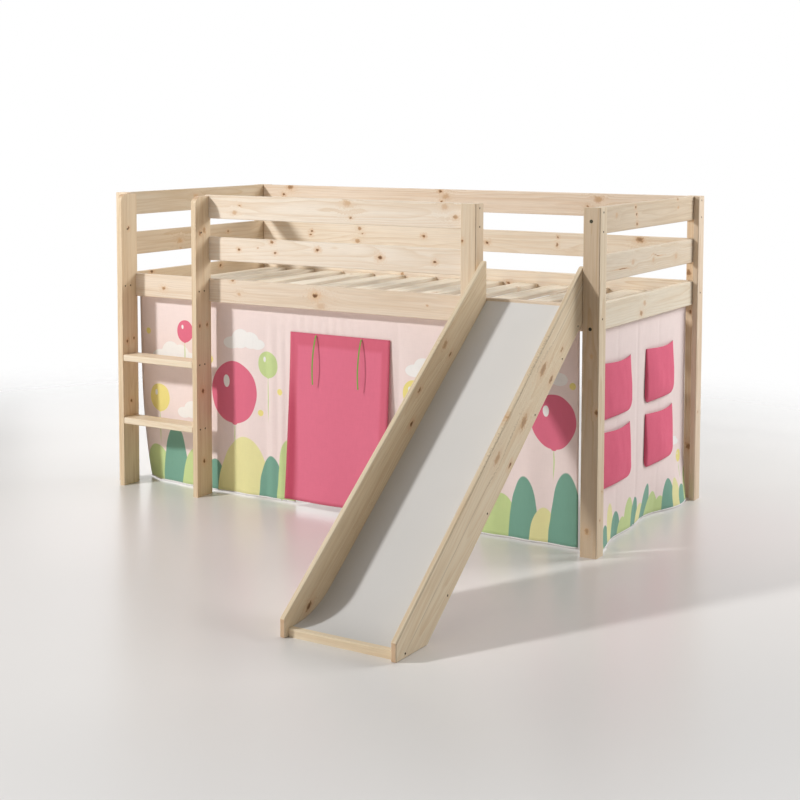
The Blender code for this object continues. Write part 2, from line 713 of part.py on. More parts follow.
def door_swell(down):
    """How far the hanging door stands out from the curtain, from 0 at its top edge."""
    return DOOR_SWELL * down ** DOOR_SWELL_POWER


def make_door():
    """The door flap, which hangs from its top edge. Its origin is on the line that it swings about."""
    height = DOOR_TOP - DOOR_FLOOR_CLEARANCE
    hinge = Vector(((DOOR_LEFT_X + DOOR_RIGHT_X) / 2, DOOR_FRONT_Y + FABRIC_THICKNESS / 2, DOOR_TOP))

    def surface(depth):
        def point(across, down):
            y = depth - FABRIC_THICKNESS / 2 - door_swell(down)
            return (across - 0.5) * DOOR_WIDTH, y, -down * height
        return point

    across, down = shares(DOOR_COLUMNS), shares(DOOR_ROWS)
    door = shell("door_flap", surface(0.0), surface(FABRIC_THICKNESS), across, down, DOOR_PINK)
    door.location = hinge
    for side_name, share in zip(("left", "right"), RIBBON_SHARES):
        make_ribbon("door_ribbon_" + side_name, (share - 0.5) * DOOR_WIDTH, door)


def make_ribbon(name, x, door):
    """A tie ribbon. It hangs in front of the door from the door's top edge, and bows away from the cloth."""
    radius = RIBBON_WIDTH / 2
    curve = bpy.data.curves.new(name, "CURVE")
    curve.dimensions = "3D"
    curve.bevel_depth = radius
    curve.bevel_resolution = 2
    curve.use_fill_caps = True
    spline = curve.splines.new("POLY")
    spline.points.add(RIBBON_POINTS - 1)
    for i, share in enumerate(shares(RIBBON_POINTS - 1)):
        bow = RIBBON_BOW * math.sin(math.pi * RIBBON_BOW_SHARE * share) ** RIBBON_BOW_POWER
        y = -FABRIC_THICKNESS / 2 - 2 * SEAT_GAP - radius - bow
        spline.points[i].co = (x, y, -RIBBON_SETBACK - radius - RIBBON_DROP * share, 1.0)
    ribbon = bpy.data.objects.new(name, curve)
    bpy.context.scene.collection.objects.link(ribbon)
    ribbon.parent = door
    finish_with(ribbon, RIBBON_GREEN)


def make_pocket(name, centre_y, top):
    """A storage pocket sewn to the end curtain: a full, open-topped pouch with a sagging mouth."""
    back = END_CURTAIN_X + SEAT_GAP

    def surface(inset):
        half = POCKET_WIDTH / 2 - inset
        height = POCKET_HEIGHT - inset
        depth = POCKET_DEPTH - inset

        def point(across, down):
            side = 2 * across - 1
            wall = math.sqrt(max(0.0, 1 - abs(side) ** POCKET_SIDE_POWER))
            floor = math.sqrt(max(0.0, 1 - down ** POCKET_BOTTOM_POWER))
            fullness = POCKET_TOP_DEPTH_SHARE + (1 - POCKET_TOP_DEPTH_SHARE) * math.sin(math.pi * down)
            sag = POCKET_SAG * (1 - side * side) * (1 - down)
            return back + depth * wall * floor * fullness, centre_y + side * half, top - sag - down * height
        return point

    across, down = shares(POCKET_COLUMNS), shares(POCKET_ROWS)
    return shell(name, surface(0.0), surface(FABRIC_THICKNESS), across, down, DOOR_PINK)


def make_pockets():
    """Two rows of two pockets."""
    first_y = FRONT_Y + POCKET_FIRST_INSET + POCKET_WIDTH / 2
    first_top = LOW_LEVEL - POCKET_TOP_DROP
    for row, row_name in enumerate(("upper", "lower")):
        for column, column_name in enumerate(("front", "rear")):
            name = "pocket_" + row_name + "_" + column_name
            make_pocket(name, first_y + column * POCKET_COLUMN_PITCH, first_top - row * POCKET_ROW_PITCH)


def main():
    clear_scene()
    fasten_posts(make_posts())
    make_rails()
    make_deck()
    fasten_ladder(make_ladder())
    fasten_slide(make_slide())
    make_front_curtain()
    make_end_curtain()
    make_door()
    make_pockets()


main()
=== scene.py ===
"""The loft bed's looks: its timber, its cloth, its fittings, and the studio that it stands in."""

import json
import math
import random

import bmesh
import bpy
from mathutils import Matrix, Vector, noise

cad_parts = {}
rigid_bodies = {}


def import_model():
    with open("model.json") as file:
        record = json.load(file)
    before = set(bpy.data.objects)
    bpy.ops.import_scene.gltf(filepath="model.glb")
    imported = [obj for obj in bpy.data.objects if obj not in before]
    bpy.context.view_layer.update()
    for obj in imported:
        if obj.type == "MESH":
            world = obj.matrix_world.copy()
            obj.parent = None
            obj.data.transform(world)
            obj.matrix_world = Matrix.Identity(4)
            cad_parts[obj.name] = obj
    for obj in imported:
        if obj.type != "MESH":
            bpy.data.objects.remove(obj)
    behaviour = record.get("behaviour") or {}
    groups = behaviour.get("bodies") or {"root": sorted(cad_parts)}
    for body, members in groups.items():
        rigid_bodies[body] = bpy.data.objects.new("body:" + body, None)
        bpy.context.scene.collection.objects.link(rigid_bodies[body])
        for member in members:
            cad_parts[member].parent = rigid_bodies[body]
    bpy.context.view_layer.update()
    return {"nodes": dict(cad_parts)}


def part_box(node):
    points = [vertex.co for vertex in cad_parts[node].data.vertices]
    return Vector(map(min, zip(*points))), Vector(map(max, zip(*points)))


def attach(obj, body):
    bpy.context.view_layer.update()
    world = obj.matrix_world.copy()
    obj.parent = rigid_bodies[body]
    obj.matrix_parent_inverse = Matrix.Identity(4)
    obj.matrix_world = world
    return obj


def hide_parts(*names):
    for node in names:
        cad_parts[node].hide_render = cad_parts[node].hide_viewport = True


MM = 0.001

for leftover in list(bpy.data.objects):
    bpy.data.objects.remove(leftover)

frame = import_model()
NODES = frame["nodes"]

# Measures

BED_HALF_LENGTH = 1.040

CLOTH = 0.0012
SHOWN_TOP = 0.752
CURTAIN_TOP = 0.772
CURTAIN_BOTTOM = 0.005
CURTAIN_HEIGHT = CURTAIN_TOP - CURTAIN_BOTTOM

FRONT_CURTAIN_LEFT = -0.973
FRONT_CURTAIN_RIGHT = 0.944
FRONT_CURTAIN_Y = 0.1616
DOORWAY_LEFT = -0.219
DOORWAY_RIGHT = 0.191
LINTEL = 0.644

END_CURTAIN_X = 0.9974
END_CURTAIN_FRONT = 0.167
END_CURTAIN_REAR = 1.014

DOOR_LEFT = -0.233
DOOR_RIGHT = 0.205
DOOR_TOP = 0.658
DOOR_BOTTOM = 0.030
DOOR_Y = 0.1583

POCKET_WIDTH = 0.262
POCKET_HEIGHT = 0.196
# Where a pocket's middle lies along the end curtain, and how high its mouth
POCKET_MIDDLES = {"front": 0.339, "rear": 0.746}
POCKET_TOPS = {"upper": 0.633, "lower": 0.397}

SLIDE_FRONT_Y = -1.079
SLIDE_HEEL_Y = -0.913
SLIDE_END_Y = 0.120
SLIDE_END_Z = 0.7934
SLIDE_ANGLE = math.atan2(SLIDE_END_Z, SLIDE_END_Y - SLIDE_HEEL_Y)
SLOPE_COS, SLOPE_SIN = math.cos(SLIDE_ANGLE), math.sin(SLIDE_ANGLE)

# Camera

LENS = {"sensor_width": 36, "lens": 67.777, "shift_x": 0.05, "shift_y": -0.2}
CAMERA_PLACE = (3.00406, -4.44009, 1.43759)
CAMERA_PITCH = 0.07722
CAMERA_TURN = 0.56694


def make_camera():
    data = bpy.data.cameras.new("camera")
    for key, value in LENS.items():
        setattr(data, key, value)
    camera = bpy.data.objects.new("camera", data)
    camera.location = CAMERA_PLACE
    camera.rotation_euler = (math.pi / 2 - CAMERA_PITCH, 0, CAMERA_TURN)
    bpy.context.scene.collection.objects.link(camera)
    bpy.context.scene.camera = camera


make_camera()

# Node trees


class Tree:
    """Short calls for a node tree's nodes."""

    def __init__(self, tree):
        self.tree = tree

    def wire(self, node, inputs):
        """Gives a node's inputs what they take: a link from a socket, or a plain value."""
        for key, value in inputs.items():
            if isinstance(value, bpy.types.NodeSocket):
                self.tree.links.new(value, node.inputs[key])
            else:
                node.inputs[key].default_value = value

    def add(self, kind, inputs=None, **settings):
        node = self.tree.nodes.new("ShaderNode" + kind)
        for key, value in settings.items():
            setattr(node, key, value)
        self.wire(node, inputs or {})
        return node

    def math(self, operation, *values):
        return self.add("Math", dict(enumerate(values)), operation=operation).outputs[0]

    def plus(self, first, second):
        return self.math("ADD", first, second)

    def minus(self, first, second):
        return self.math("SUBTRACT", first, second)

    def times(self, first, second):
        return self.math("MULTIPLY", first, second)

    def vector(self, operation, *values):
        node = self.add("VectorMath", dict(enumerate(values)), operation=operation)
        return node.outputs["Value" if operation in ("LENGTH", "DOT_PRODUCT") else "Vector"]

    def scaled(self, vector, scales):
        return self.vector("MULTIPLY", vector, scales)

    def scale_by(self, colour, factor):
        return self.add("VectorMath", {0: colour, "Scale": factor}, operation="SCALE").outputs["Vector"]

    def split(self, vector):
        return self.add("SeparateXYZ", {0: vector}).outputs

    def coordinates(self, kind="Object"):
        return self.add("TexCoord").outputs[kind]

    def noise(self, vector, scale, detail=2.0):
        """Noise of one scale, or of a scale for each axis."""
        if isinstance(scale, tuple):
            vector, scale = self.scaled(vector, scale), 1.0
        return self.add("TexNoise", {"Vector": vector, "Scale": scale, "Detail": detail}).outputs["Fac"]

    def range(self, value, low, high, to_low=0.0, to_high=1.0):
        inputs = {"Value": value, "From Min": low, "From Max": high, "To Min": to_low, "To Max": to_high}
        return self.add("MapRange", inputs, interpolation_type="SMOOTHSTEP").outputs["Result"]

    def mix(self, factor, first, second):
        return self.add("Mix", {0: factor, 6: first, 7: second}, data_type="RGBA").outputs[2]

    def bump(self, height, strength, distance, **more):
        inputs = {"Height": height, "Strength": strength, "Distance": distance, **more}
        return self.add("Bump", inputs).outputs[0]


def new_group(name, inputs, outputs):
    """A node group with its own input and output nodes. The sockets are listed by their kind."""
    group = bpy.data.node_groups.new(name, "ShaderNodeTree")
    for in_out, sockets in (("INPUT", inputs), ("OUTPUT", outputs)):
        for kind, names in sockets.items():
            for socket_name in names:
                group.interface.new_socket(socket_name, in_out=in_out, socket_type="NodeSocket" + kind)
    taken = group.nodes.new("NodeGroupInput")
    given = group.nodes.new("NodeGroupOutput")
    return Tree(group), taken.outputs, given


def new_material(name):
    """A material with its tree, its shader and its object coordinates."""
    material = bpy.data.materials.new(name)
    material.use_nodes = True
    t = Tree(material.node_tree)
    return material, t, material.node_tree.nodes["Principled BSDF"], t.coordinates()


def linear(r, g, b):
    """A colour as the eye reads it, in the numbers that the shaders take."""

    def channel(v):
        return v / 12.92 if v <= 0.04045 else ((v + 0.055) / 1.055) ** 2.4

    return (channel(r), channel(g), channel(b), 1.0)


# Timber

PALE = linear(0.925, 0.850, 0.745)
LINE = linear(0.850, 0.735, 0.590)
# Growth lines, and painted shade along an arris
GROWTH_LINE_AND_ARRIS_SHADE = linear(0.560, 0.450, 0.320)
END_GRAIN = linear(0.790, 0.640, 0.500)
KNOT_HALO = linear(0.86, 0.70, 0.53)
KNOT_TAN = linear(0.80, 0.64, 0.47)
KNOT_BROWN = linear(0.56, 0.40, 0.25)
KNOT_HEART = linear(0.42, 0.28, 0.17)

# How far the growth rings stray from a circle, in long waves and in short ones
SLOW_STRAY = 0.050
SHORT_STRAY = 0.006
# How wide the grain bends round a knot, in the knot's radii
BEND_SHARE = 1.9
# How much longer than wide a knot lies in a board
KNOT_STRETCH = 1.4
SLIDE_KNOT_STRETCH = 2.2
# How far boards of one tone differ, and the palest that one may be
TONE_SPREAD = 0.02
PALEST = 0.97
STROKE_WANDER = 0.005
STROKE_FADE = 0.1


def make_knot_group():
    """Bends the grain round one knot, and marks its core and the resin round it."""
    t, taken, given = new_group(
        "knot",
        {"Vector": ("Board", "Centre", "Shape"), "Float": ("Core", "Halo", "Radius", "Depth")},
        {"Vector": ("Board",), "Float": ("Core", "Halo")},
    )
    board, depth = taken["Board"], taken["Depth"]
    offset = t.vector("SUBTRACT", board, taken["Centre"])
    wobble = t.noise(t.scaled(board, (1.0, 1.0, 0.3)), 130.0, 3.0)
    flat = t.vector("LENGTH", t.scaled(offset, taken["Shape"]))
    share = t.math("DIVIDE", t.times(flat, t.range(wobble, 0.2, 0.8, 0.62, 1.38)), taken["Radius"])
    core = t.times(t.range(share, 0.30, 1.20, 1.0, 0.0), depth)
    halo = t.times(t.range(share, 0.8, 4.0, 1.0, 0.0), depth)
    square = t.math("POWER", t.math("DIVIDE", share, BEND_SHARE), 2.0)
    kept = t.minus(1.0, t.math("EXPONENT", t.times(square, -1.0)))
    pull = t.add("CombineXYZ", {"X": 1.0, "Y": kept, "Z": 1.0}).outputs[0]
    t.wire(given, {"Board": t.vector("ADD", t.scaled(offset, pull), taken["Centre"])})
    t.wire(given, {"Core": t.math("MAXIMUM", core, taken["Core"])})
    t.wire(given, {"Halo": t.math("MAXIMUM", halo, taken["Halo"])})
    return t.tree


def make_grain_group():
    """Growth rings cut by the board, fibre streaks and slow changes of tone."""
    t, taken, given = new_group(
        "grain",
        {
            "Vector": ("Board", "Pith", "Lean", "Seed"),
            "Float": ("Spacing", "Core", "Halo"),
            "Color": ("Pale", "Line"),
        },
        {"Color": ("Colour",), "Float": ("Height",)},
    )
    board, line, core = taken["Board"], taken["Line"], taken["Core"]
    seeded = t.vector("ADD", board, taken["Seed"])
    lean = t.scale_by(taken["Lean"], t.split(board)[0])
    off_pith = t.vector("ADD", t.vector("SUBTRACT", board, taken["Pith"]), lean)
    radius = t.vector("LENGTH", t.scaled(off_pith, (0.0, 1.0, 1.0)))
    slow = t.noise(seeded, (1.3, 9.0, 9.0), 1.0)
    short = t.noise(seeded, (7.0, 30.0, 30.0))
    radius = t.plus(radius, t.times(t.minus(slow, 0.5), SLOW_STRAY))
    radius = t.plus(radius, t.times(t.minus(short, 0.5), SHORT_STRAY))
    ring = t.math("FRACT", t.math("DIVIDE", radius, taken["Spacing"]))
    late = t.times(t.math("POWER", ring, 3.0), t.range(ring, 0.90, 1.0, 1.0, 0.0))
    clear = t.noise(seeded, (1.1, 14.0, 14.0), 1.0)
    late = t.times(late, t.range(clear, 0.35, 0.7, 0.35, 1.0))
    streak = t.noise(seeded, (2.2, 70.0, 70.0))
    fibre = t.noise(seeded, (14.0, 620.0, 620.0))
    patch = t.noise(seeded, (2.0, 11.0, 11.0), 1.0)
    colour = t.mix(t.times(late, 0.95), taken["Pale"], line)
    colour = t.mix(t.times(t.range(streak, 0.42, 0.75), 0.55), colour, line)
    colour = t.mix(t.times(t.range(patch, 0.4, 0.8), 0.25), colour, line)
    colour = t.scale_by(colour, t.range(fibre, 0.25, 0.75, 0.94, 1.04))
    colour = t.mix(t.times(t.math("POWER", taken["Halo"], 2.0), 0.55), colour, KNOT_HALO)
    colour = t.mix(t.range(core, 0.0, 0.45, 0.0, 0.80), colour, KNOT_TAN)
    heart = t.mix(t.range(fibre, 0.35, 0.65), KNOT_BROWN, KNOT_HEART)
    colour = t.mix(t.range(core, 0.30, 0.95), colour, heart)
    t.wire(given, {"Colour": colour, "Height": t.plus(t.times(fibre, 0.5), t.times(late, 0.5))})
    return t.tree


KNOT = make_knot_group()
GRAIN = make_grain_group()

# Along the grain, across the board and through it
BOARD_AXES = {
    "rail": ((1, 0, 0), (0, 0, 1), (0, -1, 0)),
    "end": ((0, 1, 0), (0, 0, 1), (1, 0, 0)),
    "slat": ((0, 1, 0), (1, 0, 0), (0, 0, -1)),
    "face": ((0, 0, 1), (1, 0, 0), (0, 1, 0)),
    "side": ((0, 0, 1), (0, 1, 0), (-1, 0, 0)),
    "tread": ((1, 0, 0), (0, 1, 0), (0, 0, 1)),
    "slope": ((0, SLOPE_COS, SLOPE_SIN), (0, -SLOPE_SIN, SLOPE_COS), (1, 0, 0)),
}
# What kind of board each name stands for
BOARD_KINDS = {
    "front_side_rail": "rail",
    "guard_rail": "rail",
    "rear_rail": "rail",
    "left_end_rail": "end",
    "right_end_rail": "end",
    "slat": "slat",
    "ladder_board": "side",
    "ladder_rung": "tread",
    "slide_board": "slope",
    "slide_batten": "tread",
    "slide_foot_bar": "tread",
}
# Each board's tone, as shares of red, green and blue, matched to how bright the board looks as lit. Beside
# the wood's own tone some hold painted light: the slats, the rear rails and the rear right post's face are
# painted lighter for light that the lamps don't give them
TONES_AND_PAINTED_LIGHT = {
    "guard_rail": (1.08, 1.16, 1.32),
    "front_side_rail": (0.98, 1.01, 1.10),
    "rear_rail_top": (1.11, 1.15, 1.28),
    "rear_rail": (1.12, 1.21, 1.36),
    "left_end_rail_top": (0.83, 0.84, 0.84),
    "left_end_rail_middle": (0.81, 0.79, 0.76),
    "left_end_rail_low": (0.90, 0.88, 0.84),
    "right_end_rail_top": (0.82, 0.82, 0.82),
    "right_end_rail_middle": (0.89, 0.93, 0.99),
    "right_end_rail_low": (0.94, 1.02, 1.11),
    "ladder_board": (0.93, 0.91, 0.86),
    "ladder_rung": (1.05, 1.10, 1.14),
    "slat": (1.12, 1.24, 1.40),
    "slide": (1.00, 1.02, 1.00),
    "front_right_post_face": (0.78, 0.74, 0.70),
    "front_right_post_side": (0.94, 0.96, 0.95),
    "rear_right_post_face": (1.08, 1.07, 1.05),
    "rear_right_post_side": (0.91, 0.90, 0.92),
    "guard_post": (0.92, 0.92, 0.92),
}
PLAIN_TONE = (1.0, 1.0, 1.0)
# Dark lines: millimetres below the upper edge, half the width, how strong, and where along the board. The
# first of the slide's right board is painted shade along its top arris; the others are growth lines
STROKES = {
    "slide_board_right": ((4, 1.5, 0.35, -0.9, 0.9), (40, 1.6, 0.35, 0.25, 0.9), (62, 2.0, 0.35, -0.75, 0.2)),
}
# Knots, in millimetres: two world coordinates on the board's face, the radius, how strong, and the stretch
KNOTS = {
    "guard_rail_top": (
        (-465, 1100, 11, 0.35), (-440, 1125, 4), (45, 1150, 15, 0.30), (60, 1100, 5, 0.8),
        (490, 1115, 8, 0.55), (450, 1150, 13, 0.30),
    ),
    "guard_rail_middle": (
        (-445, 960, 5), (-355, 970, 5, 0.4), (-290, 995, 7, 0.8), (-275, 955, 5, 0.8), (-85, 975, 6),
        (185, 960, 8), (410, 955, 5),
    ),
    "front_side_rail": (
        (-815, 790, 8, 0.7), (-475, 840, 6, 0.7), (-445, 790, 9, 0.35), (-95, 805, 10), (-70, 770, 20, 0.25),
        (380, 800, 6, 0.4),
    ),
    "rear_rail_top": (
        (-850, 1155, 13, 0.7), (-885, 1125, 6), (-85, 1155, 6), (-60, 1135, 14, 0.35), (-80, 1120, 5),
        (625, 1140, 17, 0.4), (580, 1115, 6, 0.8),
    ),
    "rear_rail_middle": (
        (-735, 965, 5), (-740, 950, 5), (-485, 985, 9, 0.6), (-470, 965, 5, 0.7), (-495, 930, 11, 0.5),
        (-165, 965, 6), (135, 950, 6), (453, 985, 6, 0.8, 0.7), (450, 955, 10, 0.7, 0.6), (800, 990, 13, 0.7),
    ),
    "rear_rail_low": ((-270, 800, 8, 0.6), (235, 790, 7, 0.8)),
    "left_end_rail_top": ((555, 1130, 16, 0.35),),
    "left_end_rail_middle": ((775, 970, 7, 0.7), (445, 950, 14, 0.4), (450, 925, 9, 0.4)),
    "left_end_rail_low": ((720, 825, 7), (265, 835, 8)),
    "right_end_rail_top": (
        (450, 1150, 5), (460, 1125, 5), (465, 1090, 7, 0.8), (285, 1130, 12, 0.3), (855, 1160, 5, 0.8),
        (860, 1130, 8, 0.4),
    ),
    "right_end_rail_middle": (
        (435, 960, 13, 0.3), (620, 955, 11, 0.3), (845, 950, 14, 0.3), (350, 945, 1.7, 1.0, 26),
        (655, 965, 1.6, 1.0, 22),
    ),
    "right_end_rail_low": ((515, 775, 11, 0.6), (545, 805, 13, 0.35)),
    "ladder_board_left": ((80, 1025, 5), (65, 575, 6, 0.9), (105, 585, 6, 0.8), (85, 335, 7, 0.8)),
    "ladder_board_right": (
        (65, 1020, 6, 0.9), (90, 1030, 12, 0.55), (60, 665, 6), (105, 665, 5), (75, 410, 9, 0.9),
        (80, 135, 7, 0.9),
    ),
    "slide_board_left": (
        (-170, 715, 12, 0.5), (-135, 680, 6, 0.8), (-335, 590, 7, 0.7), (-385, 490, 6), (-625, 230, 11, 0.7),
        (-670, 205, 13, 0.6), (-800, 110, 8, 0.5), (-960, 60, 9, 0.8),
    ),
    "slide_board_right": (
        (-190, 670, 17, 0.6), (-135, 630, 11, 0.7), (-55, 715, 7, 0.6), (-325, 525, 16, 0.6), (-430, 560, 6),
        (-500, 445, 13, 0.5), (-415, 410, 6), (-715, 350, 6, 0.7), (-535, 260, 6),
    ),
    "slat_04": ((-470, 950, 7, 0.6),),
    "slat_06": ((-185, 995, 6, 0.5),),
    "slat_08": ((180, 540, 9, 0.7),),
    "slat_09": ((355, 870, 7, 0.8),),
    "front_left_post_face": ((-1010, 420, 8, 0.5),),
    "front_left_post_side": ((135, 310, 6, 0.6),),
    "front_right_post_face": ((1035, 490, 9, 0.8), (1005, 90, 9, 0.6), (1015, 675, 9, 0.3)),
    "front_right_post_side": ((125, 125, 4, 0.7), (140, 220, 4, 0.7)),
    "rear_left_post_face": ((-1010, 560, 8, 0.6),),
    "rear_left_post_side": ((1060, 300, 7, 0.6),),
    "rear_right_post_face": ((1000, 200, 12, 0.7), (1000, 720, 6, 0.6), (990, 870, 11, 0.7)),
    "rear_right_post_side": ((1045, 340, 5, 0.6),),
    "guard_post_face": ((530, 1035, 5, 0.9),),
}
# Which corner of a post's box is the outer one: 1 for the right, and 1 for the rear
POST_CORNERS = {
    "front_left_post": (0, 0),
    "front_right_post": (1, 0),
    "rear_left_post": (0, 1),
    "rear_right_post": (1, 1),
    "guard_post": (1, 0),
}


def by_start(table, name, otherwise=None):
    """The first entry of a table whose key a name starts with."""
    return next((entry for start, entry in table.items() if name.startswith(start)), otherwise)


def board_turn(kind):
    """The turn from board coordinates to world coordinates."""
    return Matrix(BOARD_AXES[kind]).transposed()


def board_vector(t, coordinates, kind, origin):
    """Object coordinates turned into board coordinates."""
    inputs = {"Vector": coordinates, "Location": origin, "Rotation": board_turn(kind).to_euler("XYZ")}
    return t.add("Mapping", inputs, vector_type="TEXTURE").outputs[0]


def knot_centre(kind, origin, places):
    """A knot's place in board coordinates, midway through the board."""
    point = Vector(origin)
    face_axes = [axis for axis in range(3) if not BOARD_AXES[kind][2][axis]]
    for axis, place in zip(face_axes, places):
        point[axis] = place * MM
    local = board_turn(kind).transposed() @ (point - origin)
    return (local[0], local[1], 0.0)


def knotted(t, vector, kind, origin, knots):
    """A chain of knots along one board."""
    core, halo = 0.0, 0.0
    usual = SLIDE_KNOT_STRETCH if kind == "slope" else KNOT_STRETCH
    for first, second, radius, *more in knots:
        depth = more[0] if more else 1.0
        stretch = more[1] if len(more) > 1 else usual
        inputs = {"Board": vector, "Core": core, "Halo": halo, "Radius": radius * MM, "Depth": depth}
        inputs["Centre"] = knot_centre(kind, origin, (first, second))
        inputs["Shape"] = (1 / stretch, 1.0, 0.0)
        given = t.add("Group", inputs, node_tree=KNOT).outputs
        vector, core, halo = given["Board"], given["Core"], given["Halo"]
    return vector, core, halo


def varied(rng, colour, tone):
    """A colour in one board's tone, with the painted light that it holds, a little lighter or darker."""
    lift = 1 + rng.uniform(-TONE_SPREAD, TONE_SPREAD)
    return tuple(min(PALEST, c * share * lift) for c, share in zip(colour, tone)) + (1.0,)


def plank(t, rng, coordinates, name, kind, origin):
    """One plank sawn from its own place in a tree: its coordinates, its colour and its height."""
    vector = board_vector(t, coordinates, kind, origin)
    vector, core, halo = knotted(t, vector, kind, origin, KNOTS.get(name, ()))
    # the board's tone, with the painted light of some boards
    tone = by_start(TONES_AND_PAINTED_LIGHT, name, PLAIN_TONE)
    inputs = {
        "Pale": varied(rng, PALE, tone),
        "Line": varied(rng, LINE, tone),
        "Pith": (0.0, rng.uniform(-0.045, 0.045), rng.choice((-1, 1)) * rng.uniform(0.030, 0.065)),
        "Lean": (0.0, rng.uniform(-0.012, 0.012), rng.uniform(-0.022, 0.022)),
        "Spacing": rng.uniform(0.0055, 0.0085),
        "Seed": (rng.uniform(0, 40), rng.uniform(0, 9), rng.uniform(0, 9)),
    }
    inputs.update({"Board": vector, "Core": core, "Halo": halo})
    given = t.add("Group", inputs, node_tree=GRAIN).outputs
    return vector, given["Colour"], given["Height"]


def finish_timber(t, shader, colour, height):
    finish = {
        "Base Color": colour,
        "Roughness": t.range(height, 0.2, 0.9, 0.50, 0.62),
        "Specular IOR Level": 0.35,
        "Normal": t.bump(height, 0.25, 0.0004),
    }
    t.wire(shader, finish)


def upper_edge(name, kind, origin):
    """How high above its origin a board reaches, across its grain."""
    across = Vector(BOARD_AXES[kind][1])
    return max((v.co - origin).dot(across) for v in NODES[name].data.vertices)


def stroked(t, vector, colour, top, strokes):
    """Long single dark lines on a board's outer face, each a steady way below its upper edge: growth lines,
    and painted shade along the top arris.
    """
    along, up, through = t.split(vector)
    outer = t.math("GREATER_THAN", through, 0.0)
    wander = t.minus(t.noise(vector, (3.0, 1.0, 1.0), 1.0), 0.5)
    across = t.plus(up, t.times(wander, STROKE_WANDER))
    for below, half, strength, start, end in strokes:
        off = t.math("ABSOLUTE", t.minus(across, top - below * MM))
        line = t.times(t.range(off, 0.4 * half * MM, 1.6 * half * MM, strength, 0.0), outer)
        begun = t.range(along, start, start + STROKE_FADE)
        ending = t.range(along, end - STROKE_FADE, end, 1.0, 0.0)
        colour = t.mix(t.times(line, t.times(begun, ending)), colour, GROWTH_LINE_AND_ARRIS_SHADE)
    return colour


def ended(t, colour, kind):
    """Darker, pinker wood where a board is cut across its grain."""
    facing = t.math("ABSOLUTE", t.vector("DOT_PRODUCT", t.coordinates("Normal"), BOARD_AXES[kind][0]))
    return t.mix(t.range(facing, 0.55, 0.72, 0.0, 0.7), colour, END_GRAIN)


def timber(name, kind, seed):
    """One board's own material."""
    low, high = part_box(name)
    origin = (low + high) / 2
    rng = random.Random(seed)
    material, t, shader, coordinates = new_material("pine_" + name)
    vector, colour, height = plank(t, rng, coordinates, name, kind, origin)
    if name in STROKES:
        colour = stroked(t, vector, colour, upper_edge(name, kind, origin), STROKES[name])
    finish_timber(t, shader, ended(t, colour, kind), height)
    return material


def post_timber(name, seed):
    """A corner post of two planks: a face plank along x and a side plank along y, split at their mitre."""
    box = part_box(name)
    right, rear = POST_CORNERS[name]
    corner = Vector((box[right].x, box[rear].y, 0.0))
    rng = random.Random(seed)
    material, t, shader, coordinates = new_material("pine_" + name)
    planks = []
    for kind in ("face", "side"):
        planks.append(plank(t, rng, coordinates, name + "_" + kind, kind, corner)[1:])
    (face, face_height), (side, side_height) = planks
    off = t.split(t.vector("ABSOLUTE", t.vector("SUBTRACT", coordinates, tuple(corner))))
    colour = t.mix(t.math("GREATER_THAN", off[1], off[0]), face, side)
    finish_timber(t, shader, colour, t.plus(t.times(face_height, 0.5), t.times(side_height, 0.5)))
    return material


def paint_timber():
    for seed, name in enumerate(sorted(NODES)):
        kind = by_start(BOARD_KINDS, name)
        if name in POST_CORNERS:
            NODES[name].data.materials[0] = post_timber(name, seed)
        elif kind:
            NODES[name].data.materials[0] = timber(name, kind, seed)


paint_timber()

# Metal and panel

RUBBED = 1.8


def blackened_steel(name, base):
    """Dark steel that is rubbed brighter in places."""
    material, t, shader, coordinates = new_material(name)
    worn = t.noise(coordinates, 420.0, 3.0)
    fine = t.noise(coordinates, 2600.0)
    bright = tuple(min(1.0, v * RUBBED) for v in base[:3]) + (1.0,)
    inputs = {
        "Base Color": t.mix(t.range(worn, 0.45, 0.7), base, bright),
        "Roughness": t.range(fine, 0.3, 0.7, 0.34, 0.52),
        "Metallic": 0.85,
        "Normal": t.bump(fine, 0.2, 0.0001),
    }
    t.wire(shader, inputs)
    return material


BOLT_STEEL = blackened_steel("bolt_steel", linear(0.22, 0.21, 0.17))
SCREW_STEEL = blackened_steel("screw_steel", linear(0.27, 0.20, 0.14))
for node_name, node in NODES.items():
    if "bolt" in node_name:
        node.data.materials[0] = BOLT_STEEL

LAMINATE_DULL = linear(0.872, 0.866, 0.855)
LAMINATE_WHITE = linear(0.886, 0.880, 0.871)
# Painted shade: the panel is painted darker toward its foot: from which height, and how much
FOOT_PAINTED_SHADE_TOP = 0.60
FOOT_PAINTED_SHADE_BOTTOM = 0.05
FOOT_PAINTED_SHADE = 0.90


def panel_laminate():
    """Smooth white laminate with a faint orange peel, slow changes of tone, and painted shade toward its
    foot.
    """
    material, t, shader, coordinates = new_material("slide_laminate")
    peel = t.noise(coordinates, 160.0)
    worn = t.noise(coordinates, (60.0, 5.0, 5.0))
    colour = t.mix(t.range(t.noise(coordinates, 3.0), 0.3, 0.7), LAMINATE_DULL, LAMINATE_WHITE)
    # painted shade, darker toward the foot
    shade = t.range(t.split(coordinates)[2], FOOT_PAINTED_SHADE_BOTTOM, FOOT_PAINTED_SHADE_TOP, FOOT_PAINTED_SHADE, 1.0)
    inputs = {
        "Base Color": t.scale_by(colour, shade),
        "Roughness": t.range(worn, 0.3, 0.7, 0.42, 0.50),
        "Specular IOR Level": 0.4,
        "Normal": t.bump(peel, 0.05, 0.0004),
    }
    t.wire(shader, inputs)
    return material


LAMINATE = panel_laminate()

# Cloth materials

THREAD = 0.0011
WEAVE_SHADE = 0.94
# How far a print fades out on the cloth's back
PRINT_FADE = 0.72

